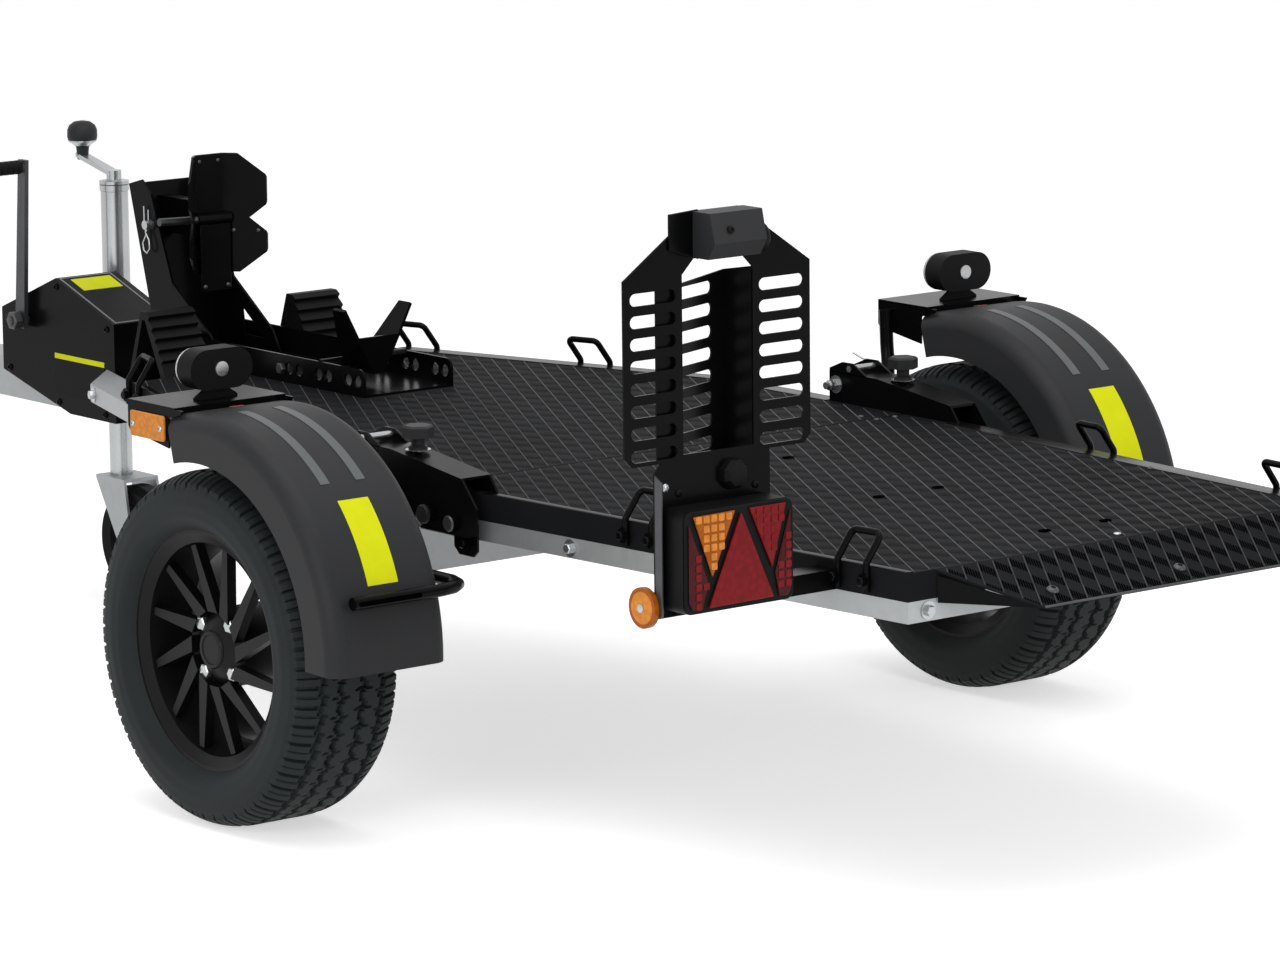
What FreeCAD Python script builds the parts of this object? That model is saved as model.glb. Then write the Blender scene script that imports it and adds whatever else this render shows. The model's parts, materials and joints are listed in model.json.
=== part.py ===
"""Motorcycle trailer: a low two-wheeled deck trailer with a wheel chock, a drawbar winch and a jockey wheel.

Millimetres. +X points forward to the coupling, +Y to the left, +Z up, with the ground at z = 0.
Every place along X is measured from the wheel axle, which stands at axle_x in the part's own frame.
"""
import FreeCAD, Part
import math
import os

import Sketcher

os.makedirs("parts", exist_ok=True)
doc = FreeCAD.newDocument("motorcycle_trailer")
sheet = doc.addObject("Spreadsheet::Sheet", "sizes")
sheet.Label = "sizes"

SIZES = {
    # Wheels and axle
    "axle_x": -390,
    "track": 1454,
    "tyre_diameter": 525,
    "tyre_width": 190,
    "bead_diameter": 330,
    "rim_lip_diameter": 356,
    "rim_width": 150,
    "hub_diameter": 118,
    "spoke_count": 12,
    "spoke_lean": 17,
    "spoke_root": 24,
    "spoke_tip": 11,
    "spoke_depth": 16,
    "beam_size": 80,
    "beam_forward": 60,
    "beam_half_length": 598,
    "arm_thickness": 24,
    "stub_diameter": 34,
    "stub_length": 110,
    "stub_end": -7,
    "bearing_gap": 0.05,
    "seat_gap": 0.3,
    # Deck and frame
    "deck_height": 485,
    "plate_thickness": 3,
    "skirt_height": 40,
    "deck_half_width": 474,
    "deck_seam": -117,
    "seam_gap": 4,
    "deck_rear": -1097,
    "deck_rear_half_width": 405,
    "deck_corner": 362,
    "deck_front": 960,
    "deck_front_half_width": 277,
    "lip_top_half_width": 356,
    "lip_bottom_half_width": 271,
    "lip_run": 124,
    "lip_drop": 45,
    "rail_width": 70,
    "rail_height": 30,
    "rail_wall": 3,
    "rail_rear_start": -201,
    "crossmember_width": 50,
    "rail_tip_outer": 1200,
    "rail_tip_inner": 1308,
    "crossmember_front": 975,
    "crossmember_nose": 1150,
    "tube_wall": 4,
    "drawbar_size": 70,
    "drawbar_front": 1810,
    "coupling_nose": 2001,
    "ball_diameter": 50,
    # Fenders
    "fender_ahead": -32,
    "fender_raise": 27.5,
    "fender_radius": 326,
    "fender_width": 205,
    "fender_depth": 70,
    "fender_wall": 4,
    "fender_rear_angle": -2,
    "fender_front_angle": 76,
    "fender_round": 25,
    "cap_width": 190,
    "cap_front": 150,
    "cap_rear": -60,
    "cap_depth": 50,
    "fender_tube_height": 384,
    "marker_x": 68,
    "marker_rise": 45,
    "marker_foot": 76,
    "marker_neck": 40,
    "marker_width": 110,
    "marker_height": 60,
    "marker_depth": 36,
    "fender_tube": 22,
    # Lamps
    "lamp_station": -960,
    "lamp_centre_y": 627,
    "lamp_rise": 40,
    "lamp_width": 190,
    "lamp_height": 140,
    "lamp_depth": 46,
    "panel_centre_y": 621,
    "panel_width": 323,
    "panel_bottom_rise": 170,
    "panel_shoulder_rise": 420,
    "panel_top_rise": 504,
    "panel_top_width": 76,
    "panel_thickness": 3,
    "window_width": 122,
    "window_sill": 8,
    "screen_reach": 45,
    "slot_pitch": 30,
    "slot_length": 78,
    "slot_height": 17,
    "ring_nose": 930,
    "ring_front": 600,
    "ring_middle": -570,
    "ring_rear": -996,
    "ring_rise": 43,
    "ring_lean": 28,
    "ring_bar": 10,
    "ring_width": 55,
    "bracket_inset": 27,
    "bracket_width": 55,
    "bracket_wall": 4,
    "bracket_front": 60,
    "bracket_bend": -55,
    "bracket_rear": -226,
    "bracket_rise": 48,
    "pivot_pin": 24,
    "knob_head": 24,
    "knob_x": -86,
    "knob_rod": 10,
    # Winch and jockey wheel
    "winch_half_width": 62,
    "winch_front": 1678,
    "winch_ridge": 1506,
    "winch_back": 1330,
    "winch_rise": 92,
    "winch_wall": 3,
    "crank_x": 1598,
    "crank_rise": 11,
    "crank_shaft": 16,
    "crank_radius": 268,
    "crank_lean": -20,
    "crank_grip": 20,
    "coupling_width": 96,
    "coupling_height": 66,
    "socket_gap": 0.4,
    "socket_depth": 42,
    "jockey_x": 1553,
    "jockey_y": -95,
    "jockey_tube": 48,
    "jockey_inner_tube": 40,
    "jockey_rise": 237,
    "jockey_wheel_diameter": 200,
    "jockey_wheel_width": 50,
    "jockey_trail": 60,
    "jockey_crown": 206,
    "jockey_inner_length": 330,
    "jockey_sleeve_drop": 135,
    "jockey_crank_reach": 104,
    "jockey_knob": 50,
    # Wheel chock
    "chock_half_width": 60,
    "chock_wall": 4,
    "chock_wall_height": 45,
    "chock_hole": 20,
    "rocker_pin": 16,
    "rocker_reach": 45,
    "cradle_flat": 26,
    "cradle_pin": 20,
    "chock_rear": 575,
    "chock_front": 1200,
    "tower_foot": 1155,
    "tower_head": 1240,
    "tower_rise": 278,
    "cradle_spine": 1130,
    "cradle_reach": 60,
    "cradle_half_width": 78,
    "cradle_rise": 135,
    "cradle_height": 200,
    "wedge_x": 1045,
    "wedge_y": 147,
    "wedge_width": 92,
    "wedge_height": 138,
    "rocker_pivot_x": 700,
    "rocker_rise": 40,
}

for row, (word, size) in enumerate(SIZES.items(), start=1):
    sheet.set(f"A{row}", word)
    sheet.set(f"B{row}", str(size))
    sheet.setAlias(f"B{row}", word)
doc.recompute()


def bind(text):
    """Write a formula of sheet words as an expression on the sheet."""
    out = []
    for token in str(text).replace("(", " ( ").replace(")", " ) ").split():
        out.append("sizes." + token if token in SIZES else token)
    line = " ".join(out)
    for function in ("sqrt", "sin", "cos"):
        line = line.replace(function + " (", function + "(")
    return line


def value(text):
    """The number that a formula of sheet words gives."""
    result = sheet.evalExpression(bind(text))
    return float(getattr(result, "Value", result))


HUB_Z = "( tyre_diameter / 2 )"
WHEEL_Y = "( track / 2 )"
RAIL_TOP = "( deck_height - skirt_height )"
RAIL_LOW = "( deck_height - skirt_height - rail_height )"
BEAM_LOW = "( deck_height - skirt_height - rail_height - 13 - beam_size )"
LAMP_Z = "( deck_height + lamp_rise )"
PANEL_BOTTOM = "( deck_height + panel_bottom_rise )"
PANEL_SHOULDER = "( deck_height + panel_shoulder_rise )"
PANEL_TOP = "( deck_height + panel_top_rise )"
BRACKET_Y = "( deck_half_width - bracket_inset )"
KNOB_Y = "( deck_half_width )"
SLEEVE_LOW = "( deck_height - jockey_sleeve_drop )"
BRACKET_TOP = "( deck_height + bracket_rise )"
WINCH_ROOF = "( deck_height + winch_rise )"
CRANK_Z = "( deck_height + crank_rise )"
JOCKEY_TOP = "( deck_height + jockey_rise )"
TOWER_TOP = "( deck_height + tower_rise )"
CRADLE_LOW = "( deck_height + cradle_rise )"
ROCKER_Z = "( deck_height + rocker_rise )"
FENDER_Z = "( tyre_diameter / 2 + fender_raise )"
FENDER_CROWN = "( tyre_diameter / 2 + fender_raise + fender_radius )"
SKIRT_SLOPE = "( ( deck_half_width - deck_rear_half_width ) / ( deck_seam - deck_rear ) )"
NOSE_SLOPE = "( ( deck_half_width - deck_front_half_width ) / ( deck_front - deck_corner ) )"

PLANES = {"XY": "XY_Plane", "XZ": "XZ_Plane", "YZ": "YZ_Plane"}
wedge_steps = 5
AXES = {"X": "X_Axis", "Y": "Y_Axis", "Z": "Z_Axis"}
pieces = []


def origin_feature(body, role):
    for feature in body.Origin.OriginFeatures:
        if feature.Role == role:
            return feature
    raise ValueError(role)


def place(piece, x="axle_x", y="0", z="0", axis=None, angle=None):
    """Bind a piece's Placement to formulas."""
    if axis:
        piece.Placement.Rotation = FreeCAD.Rotation(FreeCAD.Vector(*axis), 0)
        for letter, part in zip("xyz", axis):
            piece.setExpression(f"Placement.Rotation.Axis.{letter}", str(part))
        piece.setExpression("Placement.Rotation.Angle", bind(angle))
    piece.setExpression("Placement.Base.x", bind(x))
    piece.setExpression("Placement.Base.y", bind(y))
    piece.setExpression("Placement.Base.z", bind(z))
    return piece


def new_body(name, **where):
    body = doc.addObject("PartDesign::Body", name)
    body.Label = name
    place(body, **where)
    pieces.append(body)
    return body


def new_sketch(body, plane, name="outline", offset=None):
    sketch = body.newObject("Sketcher::SketchObject", name)
    sketch.AttachmentSupport = (origin_feature(body, PLANES[plane]), "")
    sketch.MapMode = "FlatFace"
    if offset:
        sketch.setExpression("AttachmentOffset.Base.z", bind(offset))
    return sketch


def tie(sketch, kind, *refs_and_formula):
    """Add one dimension to a sketch and bind it to a formula."""
    *refs, formula = refs_and_formula
    number = sketch.addConstraint(Sketcher.Constraint(kind, *refs, value(formula)))
    sketch.setExpression(f"Constraints[{number}]", bind(formula))


def loop(sketch, points):
    """A closed outline of straight lines through points that are given as formulas."""
    first = sketch.GeometryCount
    spots = [FreeCAD.Vector(value(a), value(b), 0) for a, b in points]
    count = len(spots)
    for index in range(count):
        sketch.addGeometry(Part.LineSegment(spots[index], spots[(index + 1) % count]), False)
    for index in range(count):
        following = first + (index + 1) % count
        sketch.addConstraint(Sketcher.Constraint("Coincident", first + index, 2, following, 1))
    for index, (a, b) in enumerate(points):
        tie(sketch, "DistanceX", -1, 1, first + index, 1, a)
        tie(sketch, "DistanceY", -1, 1, first + index, 1, b)


def circle(sketch, a, b, radius):
    centre = FreeCAD.Vector(value(a), value(b), 0)
    index = sketch.addGeometry(Part.Circle(centre, FreeCAD.Vector(0, 0, 1), value(radius)), False)
    tie(sketch, "DistanceX", -1, 1, index, 3, a)
    tie(sketch, "DistanceY", -1, 1, index, 3, b)
    tie(sketch, "Radius", index, radius)


def slot(sketch, a, b, length, width):
    """A straight slot with round ends, centred on a, b and running along the sketch's first axis."""
    reach = f"( {length} - {width} ) / 2"
    half = value(width) / 2
    left = FreeCAD.Vector(value(f"{a} - {reach}"), value(b), 0)
    right = FreeCAD.Vector(value(f"{a} + {reach}"), value(b), 0)
    up = FreeCAD.Vector(0, half, 0)
    normal = FreeCAD.Vector(0, 0, 1)
    first = sketch.GeometryCount
    sketch.addGeometry(Part.ArcOfCircle(Part.Circle(left, normal, half), math.pi / 2, 3 * math.pi / 2), False)
    sketch.addGeometry(Part.ArcOfCircle(Part.Circle(right, normal, half), -math.pi / 2, math.pi / 2), False)
    sketch.addGeometry(Part.LineSegment(left - up, right - up), False)
    sketch.addGeometry(Part.LineSegment(right + up, left + up), False)
    joints = ((first, 2, first + 2, 1), (first + 2, 2, first + 1, 1), (first + 1, 2, first + 3, 1),
              (first + 3, 2, first, 1))
    for refs in joints:
        sketch.addConstraint(Sketcher.Constraint("Tangent", *refs))
    tie(sketch, "DistanceX", -1, 1, first, 3, f"{a} - {reach}")
    tie(sketch, "DistanceX", -1, 1, first + 1, 3, f"{a} + {reach}")
    tie(sketch, "DistanceY", -1, 1, first, 3, b)
    tie(sketch, "Radius", first, f"{width} / 2")


def pad(body, sketch, length, both_ways=True, name="Pad"):
    feature = body.newObject("PartDesign::Pad", name)
    feature.Profile = sketch
    feature.SideType = "Symmetric" if both_ways else "One side"
    feature.setExpression("Length", bind(length))
    return feature


def pocket(body, sketch, length=None, name="Pocket", reverse=False):
    """Cut a sketch through everything, or to a length on one side."""
    feature = body.newObject("PartDesign::Pocket", name)
    feature.Profile = sketch
    if length is None:
        feature.Type = "ThroughAll"
        feature.SideType = "Symmetric"
    else:
        feature.SideType = "One side"
        feature.Reversed = reverse
        feature.setExpression("Length", bind(length))
    return feature


def symmetric_pocket(body, sketch, length, name="Hollow"):
    feature = body.newObject("PartDesign::Pocket", name)
    feature.Profile = sketch
    feature.SideType = "Symmetric"
    feature.setExpression("Length", bind(length))
    return feature


def revolve(body, sketch, axis, name="Revolution"):
    feature = body.newObject("PartDesign::Revolution", name)
    feature.Profile = sketch
    feature.ReferenceAxis = (origin_feature(body, AXES[axis]), [""])
    feature.Angle = 360
    return feature


def body_revolve(body, sketch, name):
    """Turn a sketch about its own upright axis."""
    feature = body.newObject("PartDesign::Revolution", name)
    feature.Profile = sketch
    feature.ReferenceAxis = (sketch, ["V_Axis"])
    return feature


def edges_where(feature, test):
    """Names of a feature's edges whose middle point and direction pass a test."""
    doc.recompute()
    names = []
    for index, edge in enumerate(feature.Shape.Edges, start=1):
        middle = edge.valueAt((edge.FirstParameter + edge.LastParameter) / 2)
        ends = [vertex.Point for vertex in edge.Vertexes]
        along = (ends[-1] - ends[0]) if len(ends) == 2 else FreeCAD.Vector()
        if along.Length:
            along.normalize()
        if test(middle, along):
            names.append(f"Edge{index}")
    if not names:
        raise ValueError("no edge found on " + feature.Name)
    return names


def rounded(body, feature, radius, test, name="Fillet"):
    names = edges_where(feature, test)
    fillet = body.newObject("PartDesign::Fillet", name)
    fillet.Base = (feature, names)
    fillet.setExpression("Radius", bind(radius))
    return fillet


def along_axis(letter):
    """A test for straight edges that run along one axis."""
    def test(middle, along):
        return abs(getattr(along, letter)) > 0.99
    return test


def wire_through(points):
    """A path of straight runs through points (x, y, z, bend radius) with an arc at each inner point."""
    spots = [FreeCAD.Vector(*point[:3]) for point in points]
    start = spots[0]
    edges = []
    for index in range(1, len(spots) - 1):
        bend = points[index][3]
        back = (spots[index - 1] - spots[index]).normalize()
        ahead = (spots[index + 1] - spots[index]).normalize()
        half_turn = (math.pi - back.getAngle(ahead)) / 2
        cut = bend * math.tan(half_turn)
        begin = spots[index] + back * cut
        end = spots[index] + ahead * cut
        inward = (back + ahead).normalize()
        middle = spots[index] + inward * (bend / math.cos(half_turn) - bend)
        edges.append(Part.LineSegment(start, begin).toShape())
        edges.append(Part.Arc(begin, middle, end).toShape())
        start = end
    edges.append(Part.LineSegment(start, spots[-1]).toShape())
    return Part.Wire(edges)


def tube_along(points, diameter):
    """A round bar along a path."""
    path = wire_through(points)
    first = path.Edges[0]
    direction = first.tangentAt(first.FirstParameter)
    ring = Part.Wire(Part.makeCircle(diameter / 2, first.valueAt(first.FirstParameter), direction))
    return path.makePipeShell([ring], True, False)


def shape_piece(name, shape, listed=True, **where):
    feature = doc.addObject("Part::Feature", name)
    feature.Label = name
    feature.Shape = shape
    place(feature, **where)
    if listed:
        pieces.append(feature)
    return feature


def compound(name, members):
    """Like pieces of one body that don't touch, kept together under one name."""
    group = doc.addObject("Part::Compound", name)
    group.Label = name
    group.Links = members
    for member in members:
        if member in pieces:
            pieces.remove(member)
    pieces.append(group)
    return group


SIDES = (("left", 1), ("right", -1))


def half_width(x):
    """The deck's half width behind the seam, as a formula of the place along X."""
    return f"( deck_half_width - ( deck_seam - ( {x} ) ) * {SKIRT_SLOPE} )"


def nose_width(x):
    """The frame's half width along the tapered nose."""
    return f"( deck_half_width - ( ( {x} ) - deck_corner ) * {NOSE_SLOPE} )"


def deck_plate(name, points, inner_points):
    body = new_body(name)
    top = new_sketch(body, "XY", "top", "deck_height - plate_thickness")
    loop(top, points)
    pad(body, top, "plate_thickness", False)
    skirt = new_sketch(body, "XY", "skirt", RAIL_TOP)
    loop(skirt, points)
    loop(skirt, inner_points)
    pad(body, skirt, "skirt_height - plate_thickness", False, "Skirt")
    return body


def front_deck_plate():
    back = "( deck_seam + seam_gap / 2 )"
    wide = "deck_half_width"
    tip = "deck_front_half_width"
    wall = "plate_thickness"
    outer = [(back, f"- {wide}"), ("deck_corner", f"- {wide}"), ("deck_front", f"- {tip}"),
             ("deck_front", tip), ("deck_corner", wide), (back, wide)]
    inner = [(f"{back} + {wall}", f"- ( {wide} - {wall} )"), ("deck_corner", f"- ( {wide} - {wall} )"),
             (f"deck_front - {wall}", f"- ( {tip} - {wall} )"), (f"deck_front - {wall}", f"{tip} - {wall}"),
             ("deck_corner", f"{wide} - {wall}"), (f"{back} + {wall}", f"{wide} - {wall}")]
    return deck_plate("front_deck_plate", outer, inner)


def rear_deck_plate():
    front = "( deck_seam - seam_gap / 2 )"
    wall = "plate_thickness"
    wide = half_width(front)
    tail = "deck_rear_half_width"
    outer = [("deck_rear", f"- {tail}"), (front, f"- {wide}"), (front, wide), ("deck_rear", tail)]
    inner = [(f"deck_rear + {wall}", f"- ( {tail} - {wall} )"), (f"{front} - {wall}", f"- ( {wide} - {wall} )"),
             (f"{front} - {wall}", f"{wide} - {wall}"), (f"deck_rear + {wall}", f"{tail} - {wall}")]
    body = deck_plate("rear_deck_plate", outer, inner)
    lip = new_sketch(body, "XZ", "lip")
    end = "( deck_rear - lip_run )"
    loop(lip, [("deck_rear", "deck_height - plate_thickness"), ("deck_rear", "deck_height"),
               (end, "deck_height - lip_drop"), (end, "deck_height - lip_drop - plate_thickness")])
    pad(body, lip, "2 * lip_top_half_width", True, "Lip")
    taper = new_sketch(body, "XY", "taper", "deck_height")
    past = "( deck_rear - lip_run - 5 )"
    low = "( lip_bottom_half_width - 5 * ( lip_top_half_width - lip_bottom_half_width ) / lip_run )"
    for side in ("", "- "):
        loop(taper, [("deck_rear", f"{side}lip_top_half_width"), (past, f"{side}{low}"),
                     (past, f"{side}( lip_top_half_width + 5 )"),
                     ("deck_rear", f"{side}( lip_top_half_width + 5 )")])
    pocket(body, taper)
    return body


def channel_rail(name, outline, hollow):
    """A folded channel, open below: its outline from above and its hollow's."""
    body = new_body(name)
    sketch = new_sketch(body, "XY", "outline", RAIL_LOW)
    loop(sketch, outline)
    pad(body, sketch, "rail_height", False)
    inside = new_sketch(body, "XY", "hollow", RAIL_LOW)
    loop(inside, hollow)
    pocket(body, inside, "rail_height - rail_wall", reverse=True)
    return body


def rails():
    wall = "rail_wall"
    cross = "( deck_rear + crossmember_width )"
    for side, sign in SIDES:
        way = "" if sign > 0 else "- "
        start = "rail_rear_start"
        outline = [(start, f"{way}{half_width(start)}"), (cross, f"{way}{half_width(cross)}"),
                   (cross, f"{way}( {half_width(cross)} - rail_width )"),
                   (start, f"{way}( {half_width(start)} - rail_width )")]
        hollow = [(f"{start} + 5", f"{way}( {half_width(start)} - {wall} )"),
                  (f"{cross} - 5", f"{way}( {half_width(cross)} - {wall} )"),
                  (f"{cross} - 5", f"{way}( {half_width(cross)} - rail_width + {wall} )"),
                  (f"{start} + 5", f"{way}( {half_width(start)} - rail_width + {wall} )")]
        channel_rail(f"{side}_rear_rail", outline, hollow)
        begin = "( rail_rear_start + 6 )"
        wide = "deck_half_width"
        outline = [(begin, f"{way}{wide}"), ("deck_corner", f"{way}{wide}"),
                   ("rail_tip_outer", f"{way}{nose_width('rail_tip_outer')}"),
                   ("rail_tip_inner", f"{way}( {nose_width('rail_tip_inner')} - rail_width )"),
                   ("deck_corner", f"{way}( {wide} - rail_width )"), (begin, f"{way}( {wide} - rail_width )")]
        hollow = [(f"{begin} - 5", f"{way}( {wide} - {wall} )"), ("deck_corner", f"{way}( {wide} - {wall} )"),
                  ("rail_tip_outer - 3", f"{way}( {nose_width('rail_tip_outer')} - {wall} )"),
                  ("rail_tip_inner - 10", f"{way}( {nose_width('rail_tip_inner')} - rail_width + {wall} + 5 )"),
                  ("deck_corner", f"{way}( {wide} - rail_width + {wall} )"),
                  (f"{begin} - 5", f"{way}( {wide} - rail_width + {wall} )")]
        channel_rail(f"{side}_front_rail", outline, hollow)


def crossmembers():
    wall = "rail_wall"
    back = "deck_rear"
    front = "( deck_rear + crossmember_width )"
    outline = [(back, f"- {half_width(back)}"), (front, f"- {half_width(front)}"),
               (front, half_width(front)), (back, half_width(back))]
    hollow = [(f"{back} + {wall}", f"- ( {half_width(back)} - {wall} )"),
              (f"{front} - {wall}", f"- ( {half_width(front)} - {wall} )"),
              (f"{front} - {wall}", f"{half_width(front)} - {wall}"),
              (f"{back} + {wall}", f"{half_width(back)} - {wall}")]
    channel_rail("rear_crossmember", outline, hollow)
    for name, at in (("front_crossmember", "crossmember_front"), ("nose_crossmember", "crossmember_nose")):
        ahead = f"( {at} + crossmember_width )"
        wide = f"( {nose_width(at)} - rail_width )"
        narrow = f"( {nose_width(ahead)} - rail_width )"
        outline = [(at, f"- {wide}"), (ahead, f"- {narrow}"), (ahead, narrow), (at, wide)]
        hollow = [(f"{at} + {wall}", f"- ( {wide} + 5 )"), (f"{ahead} - {wall}", f"- ( {narrow} + 5 )"),
                  (f"{ahead} - {wall}", f"{narrow} + 5"), (f"{at} + {wall}", f"{wide} + 5")]
        channel_rail(name, outline, hollow)


def square_tube(body, plane, size, wall, length, offset=None, both_ways=False, low="0"):
    sketch = new_sketch(body, plane, "section", offset)
    for edge in (f"{size} / 2", f"( {size} / 2 - {wall} )"):
        loop(sketch, [(f"- {edge}", f"- {edge}"), (edge, f"- {edge}"), (edge, edge), (f"- {edge}", edge)])
    pad(body, sketch, length, both_ways)


def drawbar():
    body = new_body("drawbar", z=f"{RAIL_LOW} - drawbar_size / 2")
    start = "( beam_forward + beam_size / 2 )"
    square_tube(body, "YZ", "drawbar_size", "tube_wall", f"drawbar_front - {start}", start)


def coupling_head():
    body = new_body("coupling_head", z=f"{RAIL_LOW} - drawbar_size")
    neck = new_sketch(body, "XY", "neck")
    centre = "( coupling_nose - coupling_width / 2 )"
    wide = "( coupling_width / 2 )"
    loop(neck, [("drawbar_front", f"- {wide}"), (centre, f"- {wide}"), (centre, wide), ("drawbar_front", wide)])
    pad(body, neck, "coupling_height", False)
    head = new_sketch(body, "XY", "head")
    circle(head, centre, "0", wide)
    pad(body, head, "coupling_height", False, "Head")
    socket = new_sketch(body, "XY", "socket")
    circle(socket, centre, "0", "ball_diameter / 2 + socket_gap")
    pocket(body, socket, "socket_depth", reverse=True)


def axle_beam():
    body = new_body("axle_beam", x="axle_x + beam_forward", z=f"{BEAM_LOW} + beam_size / 2")
    square_tube(body, "XZ", "beam_size", "tube_wall", "2 * beam_half_length", both_ways=True)


def suspension_arms():
    """Trailing arms with a boss on the axle beam and a stub axle for the wheel."""
    made = []
    for side, sign in SIDES:
        body = doc.addObject("PartDesign::Body", f"{side}_arm")
        place(body, y=f"{sign} * ( beam_half_length + arm_thickness / 2 )", z="0")
        high = f"( {BEAM_LOW} + beam_size / 2 )"
        sketch = new_sketch(body, "XZ", "arm")
        loop(sketch, [("- 26", f"{HUB_Z} - 20"), ("26", f"{HUB_Z} - 20"), ("beam_forward + 38", high),
                      ("beam_forward + 20", f"{high} + 34"), ("beam_forward - 20", f"{high} + 34"),
                      ("beam_forward - 38", high)])
        pad(body, sketch, "arm_thickness")
        boss = new_sketch(body, "XZ", "boss")
        circle(boss, "0", HUB_Z, "30")
        pad(body, boss, "arm_thickness", name="Boss")
        stub = new_sketch(body, "XZ", "stub")
        circle(stub, "0", HUB_Z, "stub_diameter / 2")
        feature = pad(body, stub, "stub_length", False, name="Stub")
        feature.Reversed = sign > 0
        made.append(body)
    compound("suspension_arms", made)


def fender(side, sign):
    """A U section with rounded shoulders, swept round the wheel."""
    body = new_body(f"{side}_fender", x="axle_x + fender_ahead", y=f"{sign} * {WHEEL_Y}", z=FENDER_Z, axis=(0, 1, 0),
                    angle="fender_rear_angle")
    out = "fender_radius"
    wall = "fender_wall"
    low = "( fender_radius - fender_depth )"
    wide = "( fender_width / 2 )"
    corner = f"( {out} - fender_round )"
    side_y = f"( {wide} - fender_round )"
    inner_round = f"( fender_round - {wall} )"
    section = new_sketch(body, "XY", "section")
    points = [(f"- {low}", wide, None),
              (f"- {corner}", wide, ("fender_round", f"- {corner}", side_y)),
              (f"- {out}", side_y, None),
              (f"- {out}", f"- {side_y}", ("fender_round", f"- {corner}", f"- {side_y}")),
              (f"- {corner}", f"- {wide}", None),
              (f"- {low}", f"- {wide}", None),
              (f"- {low}", f"- ( {wide} - {wall} )", None),
              (f"- {corner}", f"- ( {wide} - {wall} )", (inner_round, f"- {corner}", f"- {side_y}")),
              (f"- ( {out} - {wall} )", f"- {side_y}", None),
              (f"- ( {out} - {wall} )", side_y, (inner_round, f"- {corner}", side_y)),
              (f"- {corner}", f"{wide} - {wall}", None),
              (f"- {low}", f"{wide} - {wall}", None)]
    arc_loop(section, points)
    turn = revolve(body, section, "Y")
    turn.setExpression("Angle", bind("180 - fender_rear_angle - fender_front_angle"))


def fender_stays(side, sign):
    """The folded front bracket with its strut, and the bent rear tube."""
    cap = doc.addObject("PartDesign::Body", f"{side}_fender_cap")
    place(cap, y=f"{sign} * {WHEEL_Y}")
    under = f"( {FENDER_CROWN} + seat_gap )"
    end = "( fender_ahead + fender_radius * cos ( fender_front_angle ) + 1 )"
    sketch = new_sketch(cap, "XZ", "outline")
    loop(sketch, [("cap_rear", under), (end, under), (end, f"{under} - cap_depth - 8"),
                  ("cap_front", f"{under} - cap_depth + 8"), ("cap_front", f"{under} + plate_thickness"),
                  ("cap_rear", f"{under} + plate_thickness")])
    pad(cap, sketch, "cap_width")
    hollow = new_sketch(cap, "XZ", "hollow")
    low = f"( {under} - 2 * cap_depth )"
    loop(hollow, [(f"{end} - 5", low), ("cap_front - plate_thickness", low),
                  ("cap_front - plate_thickness", under), (f"{end} - 5", under)])
    symmetric_pocket(cap, hollow, "cap_width - 2 * plate_thickness")
    thick = value("fender_tube")
    inner_y = value(f"{WHEEL_Y} - cap_width / 2") - thick / 2
    top = value(under)
    strut_x = value("cap_front") - 1.2 * thick
    beam_top = value(f"{BEAM_LOW} + beam_size")
    beam_x = value("beam_forward")
    low_y = inner_y - 2.7 * thick
    strut = tube_along([(strut_x, inner_y, top - thick / 2, 0),
                        (strut_x - 0.3 * thick, inner_y, value("deck_height") + 1.6 * thick, 2.2 * thick),
                        (beam_x, low_y, beam_top + 2.4 * thick, 1.8 * thick),
                        (beam_x, low_y, beam_top + value("seat_gap"), 0)], thick)
    tube_y = value("beam_half_length") - thick / 2 - 1
    level = value("fender_tube_height")
    below = level - thick / 2 - value(FENDER_Z)
    back_x = value("fender_ahead") - math.sqrt(value("fender_radius") ** 2 - below ** 2) - thick / 2
    front_x = value("beam_forward - beam_size / 2")
    rear = tube_along([(back_x, value(WHEEL_Y) + value("fender_width") / 3, level, 0),
                       (back_x, tube_y, level, 1.8 * thick), (front_x, tube_y, level, 0)], thick)
    shapes = []
    for bar in (strut, rear):
        if sign < 0:
            bar = bar.mirror(FreeCAD.Vector(0, 0, 0), FreeCAD.Vector(0, 1, 0))
        shapes.append(bar)
    struts = shape_piece(f"{side}_strut", shapes[0], listed=False)
    tails = shape_piece(f"{side}_tail_tube", shapes[1], listed=False)
    compound(f"{side}_fender_stays", [cap, struts, tails])


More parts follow.
